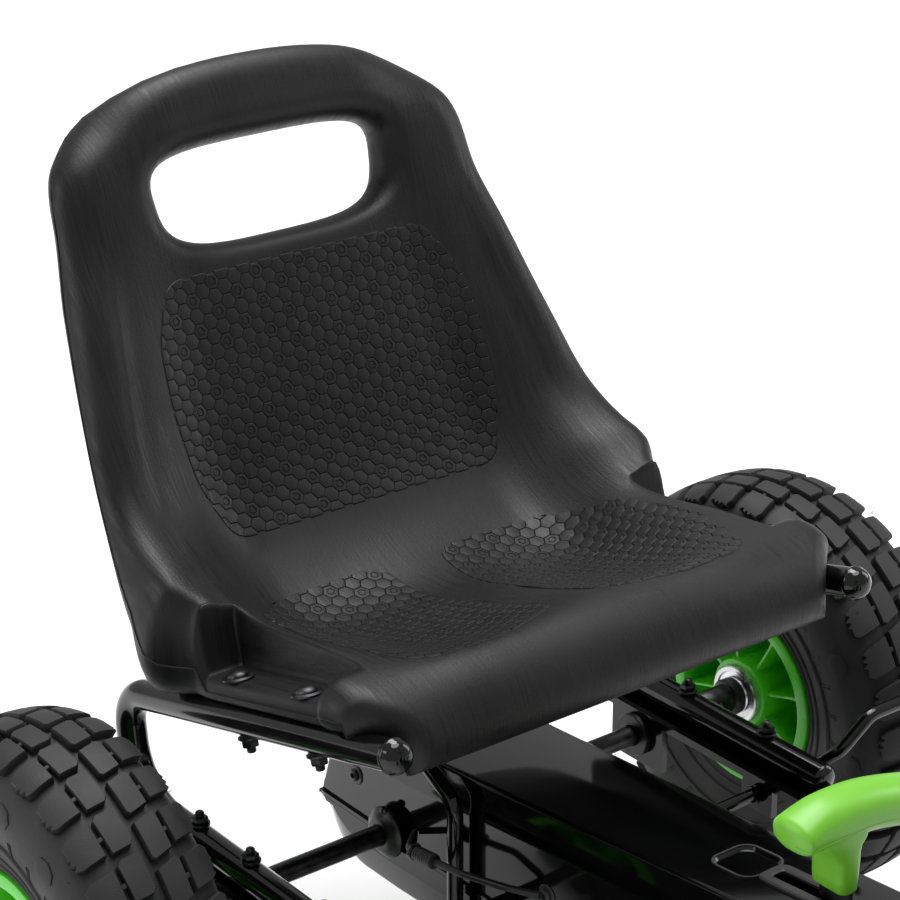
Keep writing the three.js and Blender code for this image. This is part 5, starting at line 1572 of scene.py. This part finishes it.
def front_end():
    piece("front_beam_welded", front_beam(), PAINT, "frame", ["front_beam"])
    for side, sign in SIDES:
        piece(f"knuckle_{side}_forged", moved(mirrored(knuckle(), sign), (FRONT_AXLE_X, 0, 0)), DARK,
              f"knuckle_{side}", [f"knuckle_{side}"])
    piece("front_bumper_smooth", bumper(), PAINT, "frame", ["front_bumper"], sharp=50)


front_end()


# ------------------------------------------------------------------ steering
STEER_LINE = STEER_TOP - STEER_BASE
STEER_LENGTH = float(np.linalg.norm(STEER_LINE))
STEER_AXIS = STEER_LINE / STEER_LENGTH
STEER_BACK = np.array([-STEER_AXIS[2], 0, STEER_AXIS[0]])
PITMAN_LENGTH = 45
EYE_UP = {"left": 4.5, "right": 11}


def steer_point(up, back=0.0, y=0.0):
    return STEER_BASE + STEER_AXIS * up + STEER_BACK * back + np.array([0, y, 0])


def on_column(part):
    """Takes a shape made about +Y, with +Z rearward, onto the column."""
    return moved(part, STEER_BASE, np.column_stack([(0, -1, 0), STEER_AXIS, STEER_BACK]))


def mast():
    parts = [on_column(ring_about(10.8, 14, 70, 350, 0.9, 48)),
             on_column(ring_about(11, 16, 66, 80, 1.2, 48)),
             on_column(ring_about(11, 16, 340, 354, 1.2, 48)),
             rod((716, 0, 90.4), steer_point(136, 8), 9, 32),
             rod(steer_point(230, -13), steer_point(230, -45.5), 7, 28),
             on_column(ring_about(14, 16, 222, 238, 1.0, 40)),
             slab(rounded(700, -18, 738, 18, 5), 88.4, 91.4, 0.8),
             weld(hoop((714, 0, 92), (0.1, 0, 1), 10.2), 1.4)]
    for _, sign in SIDES:
        foot = np.array([FRONT_AXLE_X - 2, sign * 73.2, BEAM_TOP + 2.5])
        parts.append(rod(foot, steer_point(127, -6, sign * 9), 8, 32))
        parts.append(slab(rounded(foot[0] - 13, foot[1] - 15, foot[0] + 13, foot[1] + 15, 5), BEAM_TOP + 0.3,
                          BEAM_TOP + 3.3, 0.8))
        parts.append(weld(hoop(foot + (0, 0, 1.8), (0, 0, 1), 9.2), 1.4))
    return merged(*parts)


def column():
    seat_of_wheel = STEER_LENGTH - 15
    shaft = lathe([(0, -6), (9.4, -6), (10, -5.4), (10, seat_of_wheel - 0.6), (9.4, seat_of_wheel),
                   (6, seat_of_wheel),
                   (6, STEER_LENGTH + 6.6), (5.2, STEER_LENGTH + 7.2), (0, STEER_LENGTH + 7.2)], 40)
    arm = plate(link_outline((0, 0), 14, (0, PITMAN_LENGTH), 9), -6, -1, 0.8)
    pin = moved(lathe([(0, -6.6), (6, -6.6), (6, -5.8), (4, -5.8), (4, 15.4), (3.4, 16), (0, 16)], 28),
                (0, 0, PITMAN_LENGTH))
    stop = ring_about(9.8, 12.5, 355, 361, 0.8)
    return on_column(merged(shaft, arm, pin, stop))


def wheel_rim():
    """The rim of the steering wheel: a thick ring whose grip has shallow finger waves and end beads."""
    rings = []
    sides, around = 28, 240
    for k in range(around):
        angle = 2 * math.pi * k / around
        wave = 0.55 * (math.cos(angle * 36) - 1) if math.cos(angle * 3 + math.pi) > 0.1 else 0
        wrap = 0.5 if abs(math.cos(angle * 3 + math.pi) - 0.1) < 0.07 else 0
        for j in range(sides):
            turn = 2 * math.pi * j / sides
            inner = max(-math.cos(turn), 0)
            radius = 10.7 + wave * inner + wrap * 0.6
            r = 119 + radius * math.cos(turn)
            rings.append((r * math.sin(angle), STEER_LENGTH + radius * math.sin(turn), r * math.cos(angle)))
    return np.array(rings), grid_faces(around, sides, True, True)


def spoke():
    rings = []
    for r, half, thick, lift in ((22, 15, 4.4, -1), (40, 13.5, 4.2, -0.5), (60, 11.5, 3.8, 0),
                                 (85, 11.5, 3.6, 0), (104, 13.5, 3.8, 0), (113, 15, 4, 0)):
        shape = [(half * math.cos(a), thick * np.sign(math.sin(a)) * abs(math.sin(a)) ** 0.5)
                 for a in np.arange(20) * 2 * math.pi / 20 + 0.157]
        rings.append(np.array([(w, STEER_LENGTH + t + lift, r) for w, t in shape]))
    window = block((-6, STEER_LENGTH - 9, 56), (6, STEER_LENGTH + 9, 92), 4)
    return carved(loft(rings), window)


def wheel_hub():
    base, top = STEER_LENGTH - 14.5, STEER_LENGTH + 8
    return lathe([(6.3, base), (24, base), (27, base + 1.5), (28.2, base + 4), (30, base + 12),
                  (33, top - 2.4), (33.6, top - 1), (33, top - 0.2), (6.3, top - 0.2)], 60, True)


def wheel_pad():
    base = STEER_LENGTH + 8.3
    return lathe([(0, base), (38.6, base), (40, base + 1.2), (40, base + 5.4), (39.2, base + 6.8),
                  (36.4, base + 9.2),
                  (33.5, base + 11), (31, base + 11.6), (30, base + 10.8), (28.6, base + 10.8),
                  (27.6, base + 11.9), (15, base + 13.4), (0, base + 13.9)], 72)


def tie_rod(side, sign):
    inner = steer_point(EYE_UP[side], PITMAN_LENGTH)
    outer = np.array([FRONT_AXLE_X - KNUCKLE_ARM, sign * KINGPIN_Y, 97.2])
    along = (outer - inner) / np.linalg.norm(outer - inner)
    parts = [rod(inner + along * 6.5, outer - along * 8, 3, 20)]
    for place, direction, bore, radius in ((inner, STEER_AXIS, 4.4, 7.5), (outer, (0, 0, 1), 4.9, 9)):
        eye = lathe([(bore, -3), (radius - 1.4, -3), (radius - 0.4, -2.2), (radius, 0), (radius - 0.4, 2.2),
                     (radius - 1.4, 3), (bore, 3)], 36, True)
        parts.append(moved(eye, place, basis(direction)))
    for start, way in ((inner, along), (outer, -along)):
        parts.append(rod(start + way * 11, start + way * 24, 3.7, 24))
        parts.append(hex_nut(start + way * 25, way, 5, 3.6))
    return merged(*parts)


def steering():
    piece("steering_mast_welded", mast(), PAINT, "frame", ["steering_mast"])
    piece("steering_column_turned", column(), PAINT, "steering", ["steering_column"])
    spokes = [moved(spoke(), turn=turn_about("Y", degrees)) for degrees in (0, 120, 240)]
    piece("steering_wheel_moulded", on_column(merged(wheel_rim(), *spokes, wheel_hub())), PLASTIC,
          "steering", ["steering_wheel"], sharp=45)
    piece("wheel_pad_domed", on_column(wheel_pad()), GREEN, "steering", ["wheel_pad"])
    for side, sign in SIDES:
        piece(f"tie_rod_{side}_jointed", tie_rod(side, sign), DARK, f"tie_rod_{side}", [f"tie_rod_{side}"])


steering()


# ------------------------------------------------------------------ nose fairing
FAIRING_LINE = np.array([  # middle x, z, half width, drop of the side edges
    (992, 128, 96, 8), (984, 158, 98, 18), (955, 198, 97, 30), (910, 238, 93, 40),
    (855, 280, 86, 44), (795, 320, 80, 40), (742, 350, 74, 30)], float)


def fairing():
    line = Spline(FAIRING_LINE)
    rows, columns = 72, 61
    s = np.linspace(0, line.length, rows)
    share = np.linspace(-1, 1, columns)
    at, ahead, behind = line.at(s), line.at(s + 1), line.at(s - 1)
    tangent = (ahead - behind)[:, :2]
    tangent /= np.linalg.norm(tangent, axis=1)[:, None]
    normal = np.column_stack([tangent[:, 1], -tangent[:, 0]])
    t = (s / line.length)[:, None]
    across = abs(share)[None, :]
    bulge = (2.6 * smooth_step((0.5 - across) / 0.05) * smooth_step((t - 0.2) / 0.04)
             * smooth_step((0.74 - t) / 0.04))
    groove = (-1.4 * np.exp(-((across - 0.76) / 0.022) ** 2) * smooth_step((t - 0.05) / 0.04)
              * smooth_step((0.95 - t) / 0.04))
    end = np.minimum(np.minimum(t, 1 - t) * line.length, (1 - across) * at[:, 2:3])
    edge = np.sqrt(np.maximum(1 - (1 - np.clip(end / 2.2, 0, 1)) ** 2, 0))
    flange = 1.6 * np.exp(-(np.maximum(end - 2.5, 0) / 2.5) ** 2)
    half = at[:, 2:3] * share[None, :] * (1 - 0.1 * smooth_step((0.12 - t) / 0.12))
    drop = at[:, 3:4] * across ** 2.5

    def skin_at(height):
        x = at[:, 0:1] + normal[:, 0:1] * height
        z = at[:, 1:2] + normal[:, 1:2] * height - drop
        return np.column_stack([np.broadcast_to(x, half.shape).ravel(), half.ravel(), z.ravel()])

    top = skin_at(-2 + (2 + bulge + groove + flange) * edge)
    under = skin_at(-2 + (-2 - flange * 0.4 + bulge * 0.8) * edge)
    faces = grid_faces(rows, columns)
    count = rows * columns
    return np.vstack([top, under]), faces + [[i + count for i in reversed(f)] for f in faces]


piece("front_fairing_moulded", fairing(), GLOSS, "frame", ["front_fairing"], sharp=60)
for fairing_side, fairing_sign in SIDES:
    screw_base = np.array([768.5, fairing_sign * 24, 335.3 + 1.2])
    piece(f"fairing_screw_{fairing_side}", screw(screw_base, (30, 0, 53), 5), DARK, "frame")


# ------------------------------------------------------------------ hand brake
PIVOT_Z = 150
LEVER_PIN_Z = 142
BRAKE_X, BRAKE_Z, BRAKE_PIN_Z = 102, 135, 104
LINK_Y = 6


def lever_bar():
    x = LEVER_X
    outline = round_corners([(x + 10, 240), (x - 10, 240), (x - 10, 141), (x - 6, 137), (x + 6, 137),
                             (x + 10, 141)],
                            (6, 6, 3, 3, 3, 3), 4)
    blade = plate(outline, -1.5, 1.5, 0.4)
    pivot = [(0, -12.4), (5.5, -12.4), (6, -11.9), (6, -9.2), (4, -9), (4, 1.6), (6.4, 1.8), (6.4, 3.4),
             (5.6, 4), (0, 4)]
    pin = [(0, 0), (2.5, 0), (2.5, 8.6), (3.6, 8.8), (3.6, 10.4), (0, 10.6)]
    return merged(blade, moved(lathe(pivot, 28), (x, 0, PIVOT_Z)),
                  moved(lathe(pin, 24), (x, 0, LEVER_PIN_Z)))


def lever_bracket():
    x = LEVER_X
    hole = rod((x, -20, PIVOT_Z), (x, 10, PIVOT_Z), 4.4, 28)
    cheek = carved(plate(link_outline((x, PIVOT_Z), 10, (x, 98), 10), -8.5, -2.5, 0.8), hole)
    foot = slab(rounded(x - 12, -19, x + 12, -2.5, 3), 88.4, 92.4, 0.8)
    return merged(cheek, foot, hex_nut((x, -14, 92.2), (0, 0, 1), 4.6, 3.4, 5.8))


GRIP_SPINE = Spline(np.array([(-35, 258), (-25, 259.8), (-8, 260.8), (12, 260), (36, 255), (58, 247.8),
                              (70, 241.5), (81, 234)], float))


def lever_grip():
    """The cane-shaped grip: a neck over the lever under a thick bar that runs left and bends down."""
    count, sides = 90, 40
    rings = []
    for k in range(count + 1):
        share = (1 - math.cos(math.pi * k / count)) / 2
        s = GRIP_SPINE.length * share
        y, z = GRIP_SPINE.at(s)[0]
        ahead, behind = GRIP_SPINE.at(s + 0.5)[0], GRIP_SPINE.at(s - 0.5)[0]
        ty, tz = (ahead - behind) / np.linalg.norm(ahead - behind)
        end = min(s, GRIP_SPINE.length - s)
        reach = 5.5 if s < GRIP_SPINE.length / 2 else 10
        round_off = max(math.sqrt(max(1 - (1 - min(end / reach, 1)) ** 2.4, 0)), 0.03)
        tall = (8.6 + 3.2 * smooth_step(s / 24) + 0.5 * math.exp(-((s - 30) / 16) ** 2)) * round_off
        wide = 13.6 * round_off
        for j in range(sides):
            a = 2 * math.pi * j / sides
            u = wide * np.sign(math.cos(a)) * abs(math.cos(a)) ** 0.86
            v = tall * np.sign(math.sin(a)) * abs(math.sin(a)) ** 0.92
            rings.append((LEVER_X + u, y - tz * v, z + ty * v))
    bar = np.array(rings), grid_faces(count + 1, sides, True)
    last = count * sides
    bar = (bar[0], bar[1] + [list(range(sides)), [last + i for i in range(sides)]])
    layers = []
    for z, x_half, y_half in ((221.4, 10.2, 4.4), (222, 11.1, 5.3), (223.2, 11.6, 5.9), (229, 11.7, 6.2),
                              (238, 11.8, 6.6),
                              (243, 11.9, 8.0), (247, 12.2, 10.4), (251, 12.6, 14.0), (256, 12.3, 16)):
        shape = np.array(rounded(-x_half, -y_half, x_half, y_half, min(4.2, y_half * 0.75), 6))
        layers.append(np.column_stack([LEVER_X + shape[:, 0], shape[:, 1] - 1.5
                                       - 4.5 * smooth_step((z - 238) / 13), np.full(len(shape), z)]))
    slit = block((LEVER_X - 10.3, -1.8, 205), (LEVER_X + 10.3, 1.8, 240.4), 0.2)
    neck = carved(loft(layers), slit)
    seams = []
    for side in (1, -1):
        line = []
        for k in range(3, count - 2):
            i = k * sides
            j = int(round(sides * (0.5 if side < 0 else 0) + side * -0.055 * sides)) % sides
            line.append(bar[0][i + j])
        seams.append(swept(line, circle(0.38, 6)))
    return merged(bar, neck, *seams)


def brake_bar():
    def half(sign):
        return [(BRAKE_X + 25, sign * 178, 160), (130, sign * 197, 177.5), (130, sign * 285.5, 177.5)]

    route = half(-1)[::-1] + [(BRAKE_X, -175, BRAKE_Z), (BRAKE_X, 175, BRAKE_Z)] + half(1)
    bar = tube(route, 4, [10, 9, 9, 9, 9, 10], 28, 5)
    arm = plate(link_outline((BRAKE_X, BRAKE_Z), 6.5, (BRAKE_X, BRAKE_PIN_Z), 5), -1.5, 1.5, 0.4)
    pin = [(0, 0), (2.5, 0), (2.5, 8.6), (3.6, 8.8), (3.6, 10.4), (0, 10.6)]
    clips = [moved(lathe([(3.9, sign * 134), (5.4, sign * 134), (5.4, sign * 136), (3.9, sign * 136)], 28,
                         True), (BRAKE_X, 0, BRAKE_Z))
             for _, sign in SIDES]
    caps = [moved(lathe([(0, sign * 286.2), (3.9, sign * 286.2), (4.5, sign * 285.4), (4.5, sign * 279),
                         (3.8, sign * 278.6)], 28),
                  (130, 0, 177.5)) for _, sign in SIDES]
    return merged(bar, arm, moved(lathe(pin, 24), (BRAKE_X, 0, BRAKE_PIN_Z)), *clips, *caps)


def brake_link():
    inner = np.array([LEVER_X, LINK_Y, LEVER_PIN_Z])
    outer = np.array([BRAKE_X, LINK_Y, BRAKE_PIN_Z])
    along = (outer - inner) / np.linalg.norm(outer - inner)
    parts = [rod(inner + along * 4.4, outer - along * 4.4, 2.2, 16)]
    for place, bore in ((inner, 2.9), (outer, 3.2)):
        parts.append(moved(ring_about(bore, 5, -2.3, 2.3, 0.6, 28), place))
    for start, way in ((inner, along), (outer, -along)):
        parts.append(rod(start + way * 5, start + way * 13, 3.1, 16))
        parts.append(hex_nut(start + way * 14, way, 3.9, 3))
    return merged(*parts)


def hand_brake():
    piece("lever_bar_flat", lever_bar(), DARK, "hand_lever", ["lever_bar"])
    piece("lever_bracket_flat", lever_bracket(), PAINT, "frame", ["lever_bracket"])
    piece("lever_grip_moulded", lever_grip(), GRIP, "hand_lever", ["lever_grip"], sharp=50)
    piece("brake_bar_smooth", brake_bar(), PAINT, "brake_bar", ["brake_bar"], sharp=45)
    piece("brake_link_rod", brake_link(), DARK, "brake_link", ["brake_link"])


hand_brake()


# ------------------------------------------------------------------ stage and camera
def stage():
    n = Nodes("floor_look", "floor")
    cloud = n.noise(3, 2)
    n.link(n.ramp(cloud, [(0.3, (0.86, 0.86, 0.86)), (0.7, (0.88, 0.88, 0.88))]), "Base Color")
    n.link(n.range(cloud, 0.8, 0.85), "Roughness")
    size = 14.0
    mesh = bpy.data.meshes.new("floor")
    mesh.from_pydata([(-size, -size, 0), (size, -size, 0), (size, size, 0), (-size, size, 0)], [],
                     [[0, 1, 2, 3]])
    floor = bpy.data.objects.new("floor", mesh)
    bpy.context.scene.collection.objects.link(floor)
    mesh.materials.append(n.material)
    floor.location.z = cad_box[0].z - 0.0005


def area_light(name, place, target, size, power, size_y=None):
    data = bpy.data.lights.new(name, "AREA")
    data.shape = "RECTANGLE"
    data.size, data.size_y = size, size_y or size
    data.energy = power
    lamp = bpy.data.objects.new(name, data)
    lamp.location = place
    lamp.rotation_euler = (Vector(target) - Vector(place)).to_track_quat("-Z", "Y").to_euler()
    bpy.context.scene.collection.objects.link(lamp)


def lights():
    bpy.context.scene.view_settings.view_transform = "Standard"
    world = bpy.data.worlds.new("studio")
    bpy.context.scene.world = world
    world.use_nodes = True
    world.node_tree.nodes["Background"].inputs["Color"].default_value = (1, 1, 1, 1)
    world.node_tree.nodes["Background"].inputs["Strength"].default_value = 0.47
    sun = bpy.data.lights.new("overhead", "SUN")
    sun.energy, sun.angle = 2.3, 0.75
    lamp = bpy.data.objects.new("overhead", sun)
    lamp.rotation_euler = (math.radians(-8), math.radians(-2), 0)
    bpy.context.scene.collection.objects.link(lamp)
    seat_at = (REAR_X, 0, 0.35)
    area_light("top_softbox", (REAR_X - 0.9, 0.5, 2.3), seat_at, 1.0, 26)
    area_light("left_softbox", (REAR_X - 0.9, -2.2, 1.2), seat_at, 0.9, 16, 1.6)
    area_light("right_softbox", (REAR_X + 0.6, 2.4, 1.3), seat_at, 0.9, 16, 1.6)


def camera():
    data = bpy.data.cameras.new("camera")
    data.lens, data.sensor_width = 111.5, 36
    data.clip_start, data.clip_end = 0.05, 60
    cam = bpy.data.objects.new("camera", data)
    cam.location = (0.6766, -0.8489, 0.9251)
    target = Vector((-0.4088, 0, 0.3468))
    cam.rotation_euler = (target - cam.location).to_track_quat("-Z", "Y").to_euler()
    bpy.context.scene.collection.objects.link(cam)
    bpy.context.scene.camera = cam


stage()
lights()
camera()
